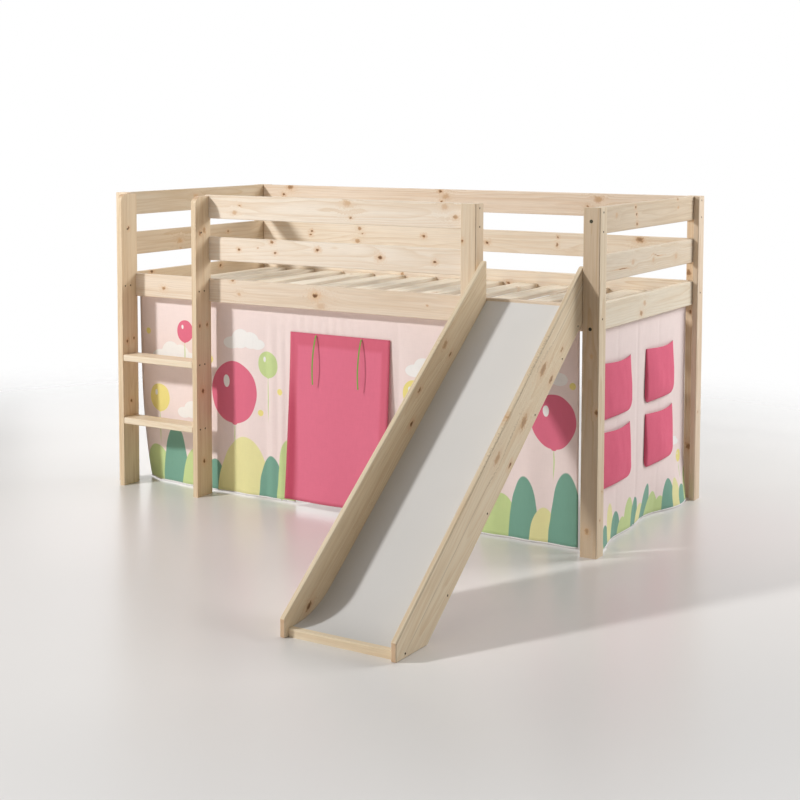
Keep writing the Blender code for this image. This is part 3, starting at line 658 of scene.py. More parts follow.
PALE_PINK = linear(0.955, 0.888, 0.872)
DEEP_PINK = linear(0.900, 0.470, 0.570)
# Painted shade: the door's hems, darker because doubled cloth lets less light through
SHADED_HEM_PINK = linear(0.858, 0.418, 0.508)
# Painted shade of the fold down the door's left side
FOLD_SHADE_PINK = linear(0.735, 0.280, 0.370)
POCKET_PINK = linear(0.890, 0.412, 0.520)
# Painted shade for the pockets' sides
POCKET_SIDE_SHADE_PINK = linear(0.850, 0.370, 0.470)
TAPE_WHITE = linear(0.955, 0.945, 0.940)
RIBBON_GREEN = linear(0.500, 0.700, 0.330)
INKS = {
    "white": linear(0.965, 0.960, 0.950),
    "yellow": linear(0.945, 0.890, 0.560),
    "teal": linear(0.485, 0.665, 0.590),
    "leaf": linear(0.795, 0.865, 0.610),
    "lime": linear(0.925, 0.905, 0.665),
    "rose": linear(0.890, 0.455, 0.555),
}


def behind(t, across):
    """PRINT_FADE on a curtain's inner face, whose outer face looks to -y or, if it runs along y, to +x."""
    facing = t.split(t.coordinates("Normal"))[1 - across]
    if across == 0:
        return t.range(facing, 0.0, 0.4, 0.0, PRINT_FADE)
    return t.range(facing, -0.4, 0.0, PRINT_FADE, 0.0)


def cotton(name, colour, across=0, sheen=0.15, slub=0.5, dress=None, printed=False):
    """Plain-woven cotton: threads, slubs and soft creases, over a colour or over what dress paints."""
    material, t, shader, coordinates = new_material(name)
    parts = t.split(coordinates)
    warp, weft = (t.math("SINE", t.times(parts[axis], 2 * math.pi / THREAD)) for axis in (across, 2))
    slubs = t.noise(coordinates, (260.0, 260.0, 26.0))
    cross = t.noise(coordinates, (24.0, 24.0, 300.0))
    crease = t.noise(coordinates, (9.0, 9.0, 4.0), 3.0)
    mottled = t.noise(coordinates, 38.0, 3.0)
    threads = t.plus(t.range(slubs, 0.35, 0.75), t.range(cross, 0.35, 0.75))
    tone = t.plus(t.times(threads, 0.5 * slub), t.times(t.range(mottled, 0.3, 0.8), 0.25))
    shade = t.add("MapRange", {"Value": tone, "To Min": 1.0, "To Max": WEAVE_SHADE}).outputs["Result"]
    base = dress(t, parts[across], parts[2]) if dress else colour[:3]
    if printed:
        base = t.mix(behind(t, across), base, colour)
    creased = t.bump(crease, 0.30, 0.010)
    inputs = {
        "Base Color": t.scale_by(base, shade),
        "Roughness": t.range(slubs, 0.3, 0.7, 0.82, 0.95),
        "Sheen Weight": sheen,
        "Sheen Roughness": 0.5,
        "Specular IOR Level": 0.2,
        "Normal": t.bump(t.times(warp, weft), 0.25, 0.0002, Normal=creased),
    }
    t.wire(shader, inputs)
    return material


# Prints, as ellipses: ink, place along and up the cloth, half the width and half the height

PRINT_EDGE = 0.0008
PRINT_STRAY = 0.012
# A cloud's puffs, as shares of half its width
PUFF_SHARES = (
    (-0.62, -0.05, 0.42, 0.26),
    (-0.18, 0.12, 0.44, 0.40),
    (0.30, 0.08, 0.42, 0.34),
    (0.68, -0.06, 0.34, 0.22),
)
STRING_HALF_WIDTH = 0.0022

FRONT_CLOUDS = (
    (-0.800, 0.520, 0.105), (-0.455, 0.600, 0.095), (-0.700, 0.300, 0.085), (0.355, 0.560, 0.085),
    (0.800, 0.585, 0.100),
)
FRONT_BUSHES = [
    ("leaf", -0.905, -0.020, 0.085, 0.170),
    ("teal", -0.800, -0.030, 0.070, 0.270),
    ("leaf", -0.690, -0.040, 0.080, 0.200),
    ("teal", -0.600, -0.030, 0.060, 0.160),
    ("lime", -0.455, -0.060, 0.135, 0.290),
    ("teal", -0.330, -0.030, 0.060, 0.200),
    ("leaf", -0.255, -0.030, 0.050, 0.270),
    ("leaf", 0.280, -0.030, 0.080, 0.210),
    ("teal", 0.430, -0.040, 0.110, 0.170),
    ("leaf", 0.650, -0.040, 0.080, 0.200),
    ("teal", 0.740, -0.030, 0.060, 0.260),
    ("lime", 0.815, -0.030, 0.055, 0.160),
    ("teal", 0.900, -0.040, 0.070, 0.300),
]
# Balloons: ink, place along and up the cloth, half the width, and the string's length
FRONT_BALLOONS = (
    ("rose", -0.505, 0.400, 0.108, 0.090), ("leaf", -0.345, 0.520, 0.044, 0.160),
    ("yellow", -0.880, 0.345, 0.050, 0.120), ("rose", -0.745, 0.620, 0.040, 0.100),
    ("rose", 0.850, 0.430, 0.085, 0.100), ("yellow", 0.300, 0.470, 0.046, 0.150),
)
FRONT_DOTS = (
    (-0.620, 0.520, 0.014), (-0.380, 0.330, 0.012), (-0.290, 0.420, 0.013), (-0.930, 0.610, 0.012),
    (0.735, 0.480, 0.013), (0.920, 0.560, 0.012),
)

TUFT_COUNT = 15
TUFT_PITCH = 0.059
TUFT_FIRST = END_CURTAIN_FRONT + 0.4 * TUFT_PITCH
TUFT_FOOT = -0.010
TUFT_HALF_WIDTHS = (0.040, 0.048)
TUFT_HALF_HEIGHTS = (0.120, 0.085, 0.145, 0.105, 0.075, 0.130)
TUFT_INKS = ("leaf", "teal", "lime", "teal", "leaf")


def cloud(x, z, wide):
    """White puffs side by side."""
    return [("white", x + a * wide, z + b * wide, c * wide, d * wide) for a, b, c, d in PUFF_SHARES]


def balloon(ink, x, z, wide, string):
    """A round balloon with a white glint, its neck and its string."""
    high = 1.12 * wide
    return [
        ("leaf", x, z - high - string / 2, STRING_HALF_WIDTH, string / 2),
        (ink, x, z - 0.97 * high, 0.13 * wide, 0.09 * wide),
        (ink, x, z, wide, high),
        ("white", x - 0.34 * wide, z + 0.36 * high, 0.13 * wide, 0.20 * high),
    ]


def dot(x, z, half):
    return [("yellow", x, z, half, half)]


def tuft(i):
    """One of a row of rounded tufts along the end curtain's hem, tall and short by turns."""
    wide = TUFT_HALF_WIDTHS[i % len(TUFT_HALF_WIDTHS)]
    high = TUFT_HALF_HEIGHTS[i % len(TUFT_HALF_HEIGHTS)]
    return (TUFT_INKS[i % len(TUFT_INKS)], TUFT_FIRST + i * TUFT_PITCH, TUFT_FOOT, wide, high)


def all_of(motif, places):
    return [shape for place in places for shape in motif(*place)]


def paint(shapes, ground):
    """A dress for cotton: printed ellipses with unsteady outlines, the later over the earlier."""

    def dress(t, across, up):
        flat = t.add("CombineXYZ", {0: across, 1: up}).outputs[0]
        unsteady = t.add("TexNoise", {"Vector": flat, "Scale": 9.0, "Detail": 1.0}).outputs["Color"]
        stray = t.vector("SUBTRACT", unsteady, (0.5, 0.5, 0.5))
        flat = t.vector("ADD", flat, t.scaled(stray, (PRINT_STRAY, PRINT_STRAY, 0.0)))
        colour = ground
        for ink, x, z, wide, high in shapes:
            off = t.vector("SUBTRACT", flat, (x, z, 0.0))
            reach = t.vector("LENGTH", t.scaled(off, (1 / wide, 1 / high, 0.0)))
            soft = PRINT_EDGE / min(wide, high)
            colour = t.mix(t.range(reach, 1 - soft, 1 + soft, 1.0, 0.0), colour, INKS[ink])
        return colour

    return dress


FRONT_PRINT = all_of(cloud, FRONT_CLOUDS) + FRONT_BUSHES
FRONT_PRINT += all_of(balloon, FRONT_BALLOONS) + all_of(dot, FRONT_DOTS)
END_PRINT = [tuft(i) for i in range(TUFT_COUNT)]
END_PRINT += cloud(0.900, 0.245, 0.050) + balloon("yellow", 0.955, 0.185, 0.022, 0.060)

# Door and pocket dresses

DOOR_HEM = 0.036
DOOR_TOP_HEM = 0.050
DOOR_BOTTOM_HEM = 0.3 * DOOR_HEM
# Painted shade of the fold down the door's left side: its width and its strength, at the top and low down
FOLD_SHADE_WIDTHS = (0.026, 0.064)
FOLD_SHADE_STRENGTHS = (0.20, 0.85)
# Where a pocket's painted side shade begins and where it is darkest, in from its edge
POCKET_SIDE_SHADE_BAND = (0.0045, 0.0020)


def door_painted_shade(t, across, up):
    """The door's hems, painted darker as shade because their doubled cloth lets less light through, and the
    painted shade of the fold down its left side.
    """
    left = t.minus(across, DOOR_LEFT)
    side = t.math("MINIMUM", left, t.minus(DOOR_RIGHT, across))
    top = t.times(t.minus(DOOR_TOP, up), DOOR_HEM / DOOR_TOP_HEM)
    bottom = t.plus(t.minus(up, DOOR_BOTTOM), DOOR_HEM - DOOR_BOTTOM_HEM)
    inward = t.math("MINIMUM", side, t.math("MINIMUM", top, bottom))
    # painted shade on the doubled hems
    colour = t.mix(t.range(inward, DOOR_HEM - 0.009, DOOR_HEM + 0.006), SHADED_HEM_PINK, DEEP_PINK)
    # painted shade of the fold down the left side
    reach = t.range(up, DOOR_TOP, DOOR_BOTTOM + 0.05, *FOLD_SHADE_WIDTHS)
    strength = t.range(up, DOOR_TOP - 0.10, DOOR_BOTTOM + 0.30, *FOLD_SHADE_STRENGTHS)
    fold = t.range(t.math("DIVIDE", left, reach), 0.45, 1.0, 1.0, 0.0)
    return t.mix(t.times(fold, strength), colour, FOLD_SHADE_PINK)


def pocket_side_shade(t, across, up):
    """Painted shade on the pockets' sides, which are painted darker than their fronts as they lie in shade.
    """
    front, rear = POCKET_MIDDLES["front"], POCKET_MIDDLES["rear"]
    from_middle = t.math("ABSOLUTE", t.minus(across, (front + rear) / 2))
    off = t.math("ABSOLUTE", t.minus(from_middle, (rear - front) / 2))
    # painted shade on the pockets' sides
    side_shade = t.range(off, *(POCKET_WIDTH / 2 - inward for inward in POCKET_SIDE_SHADE_BAND))
    return t.mix(side_shade, POCKET_PINK, POCKET_SIDE_SHADE_PINK)


FRONT_CLOTH = cotton("curtain_cotton", PALE_PINK, 0, dress=paint(FRONT_PRINT, PALE_PINK), printed=True)
END_CLOTH = cotton("end_curtain_cotton", PALE_PINK, 1, dress=paint(END_PRINT, PALE_PINK), printed=True)
DOOR_CLOTH = cotton("door_cotton", DEEP_PINK, 0, dress=door_painted_shade)
POCKET_CLOTH = cotton("pocket_cotton", POCKET_PINK, 1, sheen=0.05, dress=pocket_side_shade)
HEM_CLOTH = cotton("hem_tape", TAPE_WHITE, slub=0.3)
RIBBON_CLOTH = cotton("ribbon_cotton", RIBBON_GREEN, slub=0.6)

# Mesh helpers

# How far apart the points lie that a normal is taken from
TINY = 0.0005


def new_object(name, vertices, faces, material, smooth=True):
    mesh = bpy.data.meshes.new(name)
    mesh.from_pydata([tuple(v) for v in vertices], [], faces)
    mesh.validate()
    mesh.materials.append(material)
    for polygon in mesh.polygons:
        polygon.use_smooth = smooth
    obj = bpy.data.objects.new(name, mesh)
    bpy.context.scene.collection.objects.link(obj)
    return obj


def ride(obj, body, *nodes):
    """Lets a piece ride a body, in place of the CAD nodes that it replaces."""
    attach(obj, body)
    if nodes:
        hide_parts(*nodes)
    return obj


def steps(low, high, most):
    """Even steps from low to high, none longer than most."""
    count = max(1, math.ceil(abs(high - low) / most - 1e-6))
    return [low + (high - low) * i / count for i in range(count + 1)]


def joined_steps(marks, most):
    """Even steps between marks, and the marks themselves."""
    found = [marks[0]]
    for low, high in zip(marks, marks[1:]):
        found += steps(low, high, most)[1:]
    return found


def normal_of(surface, u, v):
    """The outward normal of a surface, by finite differences."""
    du = surface(u + TINY, v) - surface(u - TINY, v)
    dv = surface(u, v + TINY) - surface(u, v - TINY)
    return du.cross(dv).normalized()


def grid_faces(rows, columns, start=0, flip=False):
    """Quads over a grid of points that are listed row by row."""
    corners = [start + row * columns + column for row in range(rows - 1) for column in range(columns - 1)]
    if flip:
        return [(a, a + 1, a + columns + 1, a + columns) for a in corners]
    return [(a, a + columns, a + columns + 1, a + 1) for a in corners]


def rim_faces(edge, shift, flip):
    """Quads between the points of an edge and the same points of a second sheet."""
    quads = [(a, a + shift, b + shift, b) for a, b in zip(edge, edge[1:])]
    return [quad[::-1] for quad in quads] if flip else quads


def drop_loose(obj):
    """Deletes the points that no face uses."""
    bm = bmesh.new()
    bm.from_mesh(obj.data)
    bmesh.ops.delete(bm, geom=[v for v in bm.verts if not v.link_faces], context="VERTS")
    bm.to_mesh(obj.data)
    bm.free()


def cloth_piece(name, body, node, surface, us, vs, material, open_at=None):
    """A sheet over a grid of a surface, whose second face lies behind the first."""
    points = [surface(u, v) for u in us for v in vs]
    backs = [surface(u, v) - normal_of(surface, u, v) * CLOTH for u in us for v in vs]
    cells = set()
    for i in range(len(us) - 1):
        for j in range(len(vs) - 1):
            middle = ((us[i] + us[i + 1]) / 2, (vs[j] + vs[j + 1]) / 2)
            if not (open_at and open_at(*middle)):
                cells.add((i, j))
    count, rows = len(points), len(vs)
    faces = []
    for i, j in sorted(cells):
        a = i * rows + j
        b, c, d = a + rows, a + rows + 1, a + 1
        faces.append((a, b, c, d))
        faces.append((d + count, c + count, b + count, a + count))
        for (right, up), (p, q) in (((0, -1), (a, b)), ((1, 0), (b, c)), ((0, 1), (c, d)), ((-1, 0), (d, a))):
            if (i + right, j + up) not in cells:
                faces.append((q, p, p + count, q + count))
    obj = new_object(name, points + backs, faces, material)
    drop_loose(obj)
    return ride(obj, body, node)


# Curtains and door

FRONT_WRINKLE = 0.0022
END_WRINKLE = 0.0016
FOLD_DEPTH = 0.006
FOLD_PITCH = 0.150
# The front curtain's left corner is swept back at its foot
SWEEP = 0.055
SWEEP_POWER = 3.2
SWEEP_FADE = 8
# Pleats beside the door: where, how wide and how deep
PLEATS = ((-0.262, 0.010, 0.0040), (-0.300, 0.014, 0.0050), (-0.352, 0.016, 0.0030), (0.236, 0.012, 0.0035))
PLEAT_START = 0.15
# Fine gathers between the rail and the door
GATHER_DEPTH = 0.0011
GATHER_PITCH = 0.037
GATHER_REACH = 0.16

# Creases between and behind the pockets: where, how wide and how deep
END_CREASES = ((0.5425, 0.006, 0.0025), (0.365, 0.008, 0.0012), (0.745, 0.008, 0.0012))
# Each wave of the hem: its depth, its pitch, and how far along the curtain its first crest stands
END_WAVES = ((0.020, 0.760, 0.033), (0.012, 0.380, 0.353))
END_WAVE_REACH = 0.190
END_WAVE_POWER = 1.5

DOOR_SWELL = 0.045
DOOR_SWELL_POWER = 1.4
DOOR_FOLD = 0.0030
DOOR_FOLD_COUNT = 1.7
DOOR_FOLD_START = 0.4
DOOR_CRUMPLE = 0.0016


def fall_of(z):
    """How far down a curtain a height lies: 0 at the rail's lower edge, 1 on the floor."""
    return max(0.0, (SHOWN_TOP - z) / SHOWN_TOP)


def wrinkle(along, z, deepest, seed):
    """Small soft wrinkles, which set in below the rail."""
    swing = 0.5 + 0.65 * noise.noise(Vector((along * 7.0, z * 4.0, seed)))
    return deepest * min(1.0, 3 * fall_of(z)) * max(0.0, swing)


def creases(along, table):
    return sum(depth * math.exp(-(((along - at) / wide) ** 2)) for at, wide, depth in table)


def gathers(x):
    """Fine gathers over the door, which fade out to its left and right."""
    uneven = 3.0 * noise.noise(Vector((x * 9.0, 0.0, 1.7)))
    fade = math.exp(-(((x - DOOR_LEFT - GATHER_REACH) / GATHER_REACH) ** 4))
    return GATHER_DEPTH * (1 + math.sin(2 * math.pi * x / GATHER_PITCH + uneven)) * fade


def front_point(x, z):
    """The outer face of the front curtain."""
    y = FRONT_CURTAIN_Y + wrinkle(x, z, FRONT_WRINKLE, 3.1)
    y += FOLD_DEPTH * fall_of(z) * (1 - math.cos(2 * math.pi * (x + BED_HALF_LENGTH) / FOLD_PITCH)) / 2
    y += creases(x, PLEATS) * max(0.0, min(1.0, (SHOWN_TOP - z) / PLEAT_START))
    if z > LINTEL:
        y += gathers(x)
    if x < DOORWAY_LEFT:
        fallen = max(0.0, (CURTAIN_TOP - z) / CURTAIN_HEIGHT)
        reach = 1 - (x - FRONT_CURTAIN_LEFT) / (DOORWAY_LEFT - FRONT_CURTAIN_LEFT)
        y += SWEEP * fallen**SWEEP_POWER * max(0.0, reach) ** SWEEP_FADE
    return Vector((x, y, z))


def end_point(y, z):
    """The outer face of the end curtain."""
    low = max(0.0, 1 - (z - CURTAIN_BOTTOM) / END_WAVE_REACH) ** END_WAVE_POWER
    along = y - END_CURTAIN_FRONT
    wave = sum(size * math.cos(2 * math.pi * (along - crest) / pitch) for size, pitch, crest in END_WAVES)
    dents = wrinkle(y, z, END_WRINKLE, 8.3) + creases(y, END_CREASES)
    return Vector((END_CURTAIN_X + low * wave - dents, y, z))


def door_point(x, z):
    """The outer face of the door."""
    down = max(0.0, min(1.0, (DOOR_TOP - z) / (DOOR_TOP - DOOR_BOTTOM)))
    across = (x - DOOR_LEFT) / (DOOR_RIGHT - DOOR_LEFT)
    fold = DOOR_FOLD * down * math.sin(2 * math.pi * across * DOOR_FOLD_COUNT + DOOR_FOLD_START)
    fold += DOOR_CRUMPLE * down * noise.noise(Vector((x * 9.0, 4.0, z * 5.0)))
    return Vector((x, DOOR_Y - DOOR_SWELL * down**DOOR_SWELL_POWER + fold - CLOTH / 2, z))


def in_doorway(x, z):
    return DOORWAY_LEFT < x < DOORWAY_RIGHT and z < LINTEL


FRONT_CURTAIN = cloth_piece(
    "front_curtain_cloth",
    "frame",
    "front_curtain",
    front_point,
    joined_steps([FRONT_CURTAIN_LEFT, DOORWAY_LEFT, DOORWAY_RIGHT, FRONT_CURTAIN_RIGHT], 0.010),
    joined_steps([CURTAIN_BOTTOM, LINTEL, CURTAIN_TOP], 0.018),
    FRONT_CLOTH,
    in_doorway,
)
END_CURTAIN = cloth_piece(
    "end_curtain_cloth",
    "frame",
    "end_curtain",
    end_point,
    steps(END_CURTAIN_FRONT, END_CURTAIN_REAR, 0.009),
    steps(CURTAIN_BOTTOM, CURTAIN_TOP, 0.016),
    END_CLOTH,
)
DOOR = cloth_piece(
    "door_cloth",
    "door",
    "door_flap",
    door_point,
    steps(DOOR_LEFT, DOOR_RIGHT, 0.012),
    steps(DOOR_BOTTOM, DOOR_TOP, 0.014),
    DOOR_CLOTH,
)

# Pockets

POCKET_BACK_X = 0.9977
POCKET_CLOTH_THICKNESS = 0.0009
POCKET_WALL = 0.010
POCKET_SWELL = 0.009
POCKET_SAG = 0.008
POCKET_SAG_SKEW = 1.4
# How far each side of a pocket leans out by its foot
POCKET_FLARE = 0.008
# The rounding of a pocket's lower corners, front and rear
POCKET_ROUNDS = (0.032, 0.042)
# How crisply a pocket's face turns to the curtain, at its sides and at its foot
POCKET_SIDE_POWER = 26
POCKET_FOOT_POWER = 16
# How far the mouth stands off, and how far down a pocket is at its fullest
POCKET_MOUTH_SHARE = 0.42
POCKET_FULL_SHARE = 0.75
# Coarse and fine crumples: how strong, how close across and down, and the seed
POCKET_CRUMPLES = ((0.16, 3.0, 2.0, 0.0), (0.09, 9.0, 3.0, 4.0))
POCKET_COLUMNS = 40
POCKET_ROWS = 30
POCKET_FOOT_ROWS = 8
POCKET_FOOT_SHARE = 0.1


def pocket_surface(middle, top):
    """A patch pocket: flat front, crisp sides, rounded lower corners, and a mouth that sags to the rear."""

    def point(s, t):
        below = (1 - t) * POCKET_HEIGHT
        side = 2 * s - 1
        half = POCKET_WIDTH / 2 + POCKET_FLARE * t
        round_by = POCKET_ROUNDS[side > 0]
        if below < round_by:
            half -= round_by - math.sqrt(max(0.0, round_by**2 - (round_by - below) ** 2))
        sag = POCKET_SAG * math.sin(math.pi * s**POCKET_SAG_SKEW) * (1 - t) ** 2
        edge = max(0.0, 1 - abs(side) ** POCKET_SIDE_POWER) ** 0.5
        filling = math.sin(math.pi / 2 * min(1.0, t / POCKET_FULL_SHARE))
        full = POCKET_MOUTH_SHARE + (1 - POCKET_MOUTH_SHARE) * filling
        close = math.sqrt(max(0.0, 1 - t**POCKET_FOOT_POWER))
        crumple = 1
        for strength, across, down, seed in POCKET_CRUMPLES:
            place = Vector((s * across + middle * 50, t * down, top * 9 + seed))
            crumple += strength * noise.noise(place)
        out = (POCKET_WALL + POCKET_SWELL * (1 - side**2)) * edge * full * close * crumple
        x = POCKET_BACK_X + POCKET_CLOTH_THICKNESS + out
        return Vector((x, middle + side * half, top - t * POCKET_HEIGHT - sag))

    return point


def make_pocket(name, middle, top):
    surface = pocket_surface(middle, top)
    us = [0.5 - 0.5 * math.cos(math.pi * i / POCKET_COLUMNS) for i in range(POCKET_COLUMNS + 1)]
    vs = [i / POCKET_ROWS * (1 - POCKET_FOOT_SHARE) for i in range(POCKET_ROWS + 1)]
    for i in range(1, POCKET_FOOT_ROWS + 1):
        vs.append(1 - POCKET_FOOT_SHARE + POCKET_FOOT_SHARE * math.sin(math.pi / 2 * i / POCKET_FOOT_ROWS))
    points = [surface(u, v) for u in us for v in vs]
    faces = grid_faces(len(us), len(vs), flip=True)
    pocket = new_object(name + "_cloth", points, faces, POCKET_CLOTH)
    thick = pocket.modifiers.new("thickness", "SOLIDIFY")
    thick.thickness = POCKET_CLOTH_THICKNESS
    thick.offset = -1
    return ride(pocket, "frame", name)


for pocket_side, pocket_middle in POCKET_MIDDLES.items():
    for pocket_level, pocket_top in POCKET_TOPS.items():
        make_pocket("pocket_" + pocket_level + "_" + pocket_side, pocket_middle, pocket_top)

# Ribbons

RIBBON_PLACES = {"left": -0.1152, "right": 0.0841}
RIBBON_WIDTH = 0.005
RIBBON_HALF_THICKNESS = 0.0005
RIBBON_TWIST = 0.35
RIBBON_POINTS = 16
RIBBON_SETBACK = 0.003
RIBBON_START_Y = DOOR_Y - CLOTH / 2 - RIBBON_WIDTH / 2
RIBBON_START_Z = DOOR_TOP - RIBBON_SETBACK - RIBBON_WIDTH / 2
RIBBON_DROP = 0.182
RIBBON_BOW = 0.027
RIBBON_BOW_SHARE = 0.68
RIBBON_BOW_POWER = 0.75


def ribbon_path(x):
    """A ribbon's middle line, which leaves the seam, bows out and hangs."""
    path = []
    for i in range(RIBBON_POINTS):
        share = i / (RIBBON_POINTS - 1)
        bow = RIBBON_BOW * math.sin(math.pi * RIBBON_BOW_SHARE * share) ** RIBBON_BOW_POWER
        path.append(Vector((x, RIBBON_START_Y - bow, RIBBON_START_Z - RIBBON_DROP * share)))
    return path


def make_ribbon(side, x):
    """A flat ribbon that twists a little and turns back again."""
    path = ribbon_path(x)
    sideways = Vector((1, 0, 0))
    last = RIBBON_POINTS - 1
    points, faces = [], []
    for i, p in enumerate(path):
        along = (path[min(last, i + 1)] - path[max(0, i - 1)]).normalized()
        out = sideways.cross(along).normalized()
        twist = RIBBON_TWIST * math.sin(math.pi * i / last)
        wide = (sideways * math.cos(twist) + out * math.sin(twist)) * (RIBBON_WIDTH / 2)
        thick = (out * math.cos(twist) - sideways * math.sin(twist)) * RIBBON_HALF_THICKNESS
        points += [p - wide + thick, p + wide + thick, p + wide - thick, p - wide - thick]
    for a in range(0, 4 * last, 4):
        faces += [(a + k, a + (k + 1) % 4, a + (k + 1) % 4 + 4, a + k + 4) for k in range(4)]
    faces += [(0, 1, 2, 3), (4 * last + 3, 4 * last + 2, 4 * last + 1, 4 * last)]
    ribbon = new_object("ribbon_" + side, points, faces, RIBBON_CLOTH, smooth=False)
    ride(ribbon, "door", "door_ribbon_" + side)


for ribbon_side, ribbon_x in RIBBON_PLACES.items():
    make_ribbon(ribbon_side, ribbon_x)

# Slide panel

PANEL_LEFT = 0.6153
PANEL_RIGHT = 0.9607
PANEL_SEAT = 0.027
PANEL_THICKNESS = 0.004
PANEL_FOOT_Z = 0.025
FOOT_BAR_SETBACK = 0.017
FOOT_BAR_LIP = 0.020
SEAT_GAP = 0.0003
PANEL_END_Y = SLIDE_FRONT_Y + FOOT_BAR_SETBACK + FOOT_BAR_LIP + SEAT_GAP
PANEL_COLUMN = 0.03
PANEL_BEND_STEPS = 28
PANEL_STRAIGHT_STEPS = 20
PANEL_SHARP = 40


def panel_line(rise, foot_z):
    """One face of the panel from the side: straight down the slope, then an arc into the level foot."""
    lift = rise / SLOPE_COS
    top_z = SLIDE_END_Z + lift
    cross_y = SLIDE_HEEL_Y + (foot_z - lift) / math.tan(SLIDE_ANGLE)
    radius = (cross_y - PANEL_END_Y) / math.tan(SLIDE_ANGLE / 2)
    bend = []
    for i in range(PANEL_BEND_STEPS + 1):
        angle = SLIDE_ANGLE * (1 - i / PANEL_BEND_STEPS) - math.pi / 2
        bend.append((PANEL_END_Y + radius * math.cos(angle), foot_z + radius + radius * math.sin(angle)))
    bend_y, bend_z = bend[0]
    straight = []
    for i in range(PANEL_STRAIGHT_STEPS):
        share = i / PANEL_STRAIGHT_STEPS
        straight.append((SLIDE_END_Y + (bend_y - SLIDE_END_Y) * share, top_z + (bend_z - top_z) * share))
    return straight + bend


def make_panel():
    """The laminate, a thin bent sheet that is closed all round."""
    upper = panel_line(PANEL_SEAT + PANEL_THICKNESS, PANEL_FOOT_Z)
    lower = panel_line(PANEL_SEAT, PANEL_FOOT_Z - PANEL_THICKNESS)
    xs = steps(PANEL_LEFT, PANEL_RIGHT, PANEL_COLUMN)
    points = [Vector((x, y, z)) for line in (upper, lower) for y, z in line for x in xs]
    rows, columns = len(upper), len(xs)
    count = rows * columns
    faces = grid_faces(rows, columns) + grid_faces(rows, columns, count, flip=True)
    faces += rim_faces(range(0, count, columns), count, False)
    faces += rim_faces(range(columns - 1, count, columns), count, True)
    faces += rim_faces(range(columns), count, True)
    faces += rim_faces(range(count - columns, count), count, False)
    panel = new_object("slide_laminate_panel", points, faces, LAMINATE)
    panel.data.set_sharp_from_angle(angle=math.radians(PANEL_SHARP))
    ride(panel, "frame", "slide_panel")


make_panel()

# Screws

HEAD_RADIUS = 0.0040
HEAD_SIDES = 24
HEAD_RIM = 0.0004
HEAD_SINK = 0.0003
RIM_SHARE = 1.05
CROSS_DEPTH = 0.0012
CROSS_ARM_SHARE = 0.62
CROSS_WIDTH_SHARE = 0.17
CROSS_FLOOR_SHARE = 0.55


def ring_faces(bm, upper, lower):
    """Quads between two closed rings of points."""
    for i in range(len(upper)):
        k = (i + 1) % len(upper)
        bm.faces.new((upper[i], upper[k], lower[k], lower[i]))


def screw_mesh():
    """A flat head with a cross recess, facing +Z, its top at z 0."""
    bm = bmesh.new()
    angles = [2 * math.pi * i / HEAD_SIDES for i in range(HEAD_SIDES)]
    rim = [bm.verts.new((HEAD_RADIUS * math.cos(a), HEAD_RADIUS * math.sin(a), 0.0)) for a in angles]
    arm, wide = CROSS_ARM_SHARE * HEAD_RADIUS, CROSS_WIDTH_SHARE * HEAD_RADIUS
    plan = [(arm, -wide), (arm, wide), (wide, wide)]
    for _ in range(3):
        plan += [(-y, x) for x, y in plan[-3:]]
    cross = [bm.verts.new((x, y, 0.0)) for x, y in plan]
    edges = [bm.edges.new((a, b)) for loop in (rim, cross) for a, b in zip(loop, loop[1:] + loop[:1])]
    bmesh.ops.triangle_fill(bm, edges=edges, use_beauty=True)
    inside = [f for f in bm.faces if all(v in cross for v in f.verts)]
    bmesh.ops.delete(bm, geom=inside, context="FACES_ONLY")
    deep = [bm.verts.new((x * CROSS_FLOOR_SHARE, y * CROSS_FLOOR_SHARE, -CROSS_DEPTH)) for x, y in plan]
    ring_faces(bm, cross, deep)
    bm.faces.new(deep)
    low = [bm.verts.new((v.co.x * RIM_SHARE, v.co.y * RIM_SHARE, -HEAD_RIM)) for v in rim]
    ring_faces(bm, low, rim)
    bmesh.ops.recalc_face_normals(bm, faces=bm.faces)
    mesh = bpy.data.meshes.new("screw_head")
    bm.to_mesh(mesh)
    bm.free()
    return [v.co.copy() for v in mesh.vertices], [tuple(p.vertices) for p in mesh.polygons]


SCREW_POINTS, SCREW_FACES = screw_mesh()


def screws(name, places, seed):
    """Screw heads, each at a point with its outward direction, 1 or -1 along x."""
    rng = random.Random(seed)
    points, faces = [], []
    for place, outward in places:
        direction = Vector((outward, 0, 0))
        spin = Matrix.Rotation(rng.uniform(0, math.pi / 2), 3, "Z")
        turn = direction.to_track_quat("Z", "Y").to_matrix() @ spin
        base = len(points)
        centre = Vector(place) - direction * HEAD_SINK
        points += [centre + turn @ p for p in SCREW_POINTS]
        faces += [tuple(base + i for i in f) for f in SCREW_FACES]
    ride(new_object(name, points, faces, SCREW_STEEL, smooth=False), "frame")


# Screw places: x on the faces of the boards, y and z of the rows
POST_SCREW_YS = (0.1275, 1.0505)
RAIL_SCREW_ZS = (1.148, 1.084)
LOW_SCREW_Z = 0.797
GUARD_POST_RIGHT = 0.583
LADDER_LEFT = -0.9797
LADDER_INNER = -0.9587
LADDER_RIGHT = -0.5877
LADDER_SCREW_YS = (0.0575, 0.0885)
RUNG_SCREW_ZS = (0.2625, 0.513)
LADDER_TOP_SCREW = (0.073, 1.022)
SLIDE_LEFT = 0.597
SLIDE_RIGHT = 0.979
BATTEN_SHARES = (0.121, 0.351, 0.656, 0.845, 0.961)
BATTEN_RISE = 0.017
FOOT_BAR_SCREW = (-1.032, 0.0125)


def post_screws():
    places = []
    for outward in (-1, 1):
        for y in POST_SCREW_YS:
            places += [((outward * BED_HALF_LENGTH, y, z), outward) for z in (*RAIL_SCREW_ZS, LOW_SCREW_Z)]
    return places


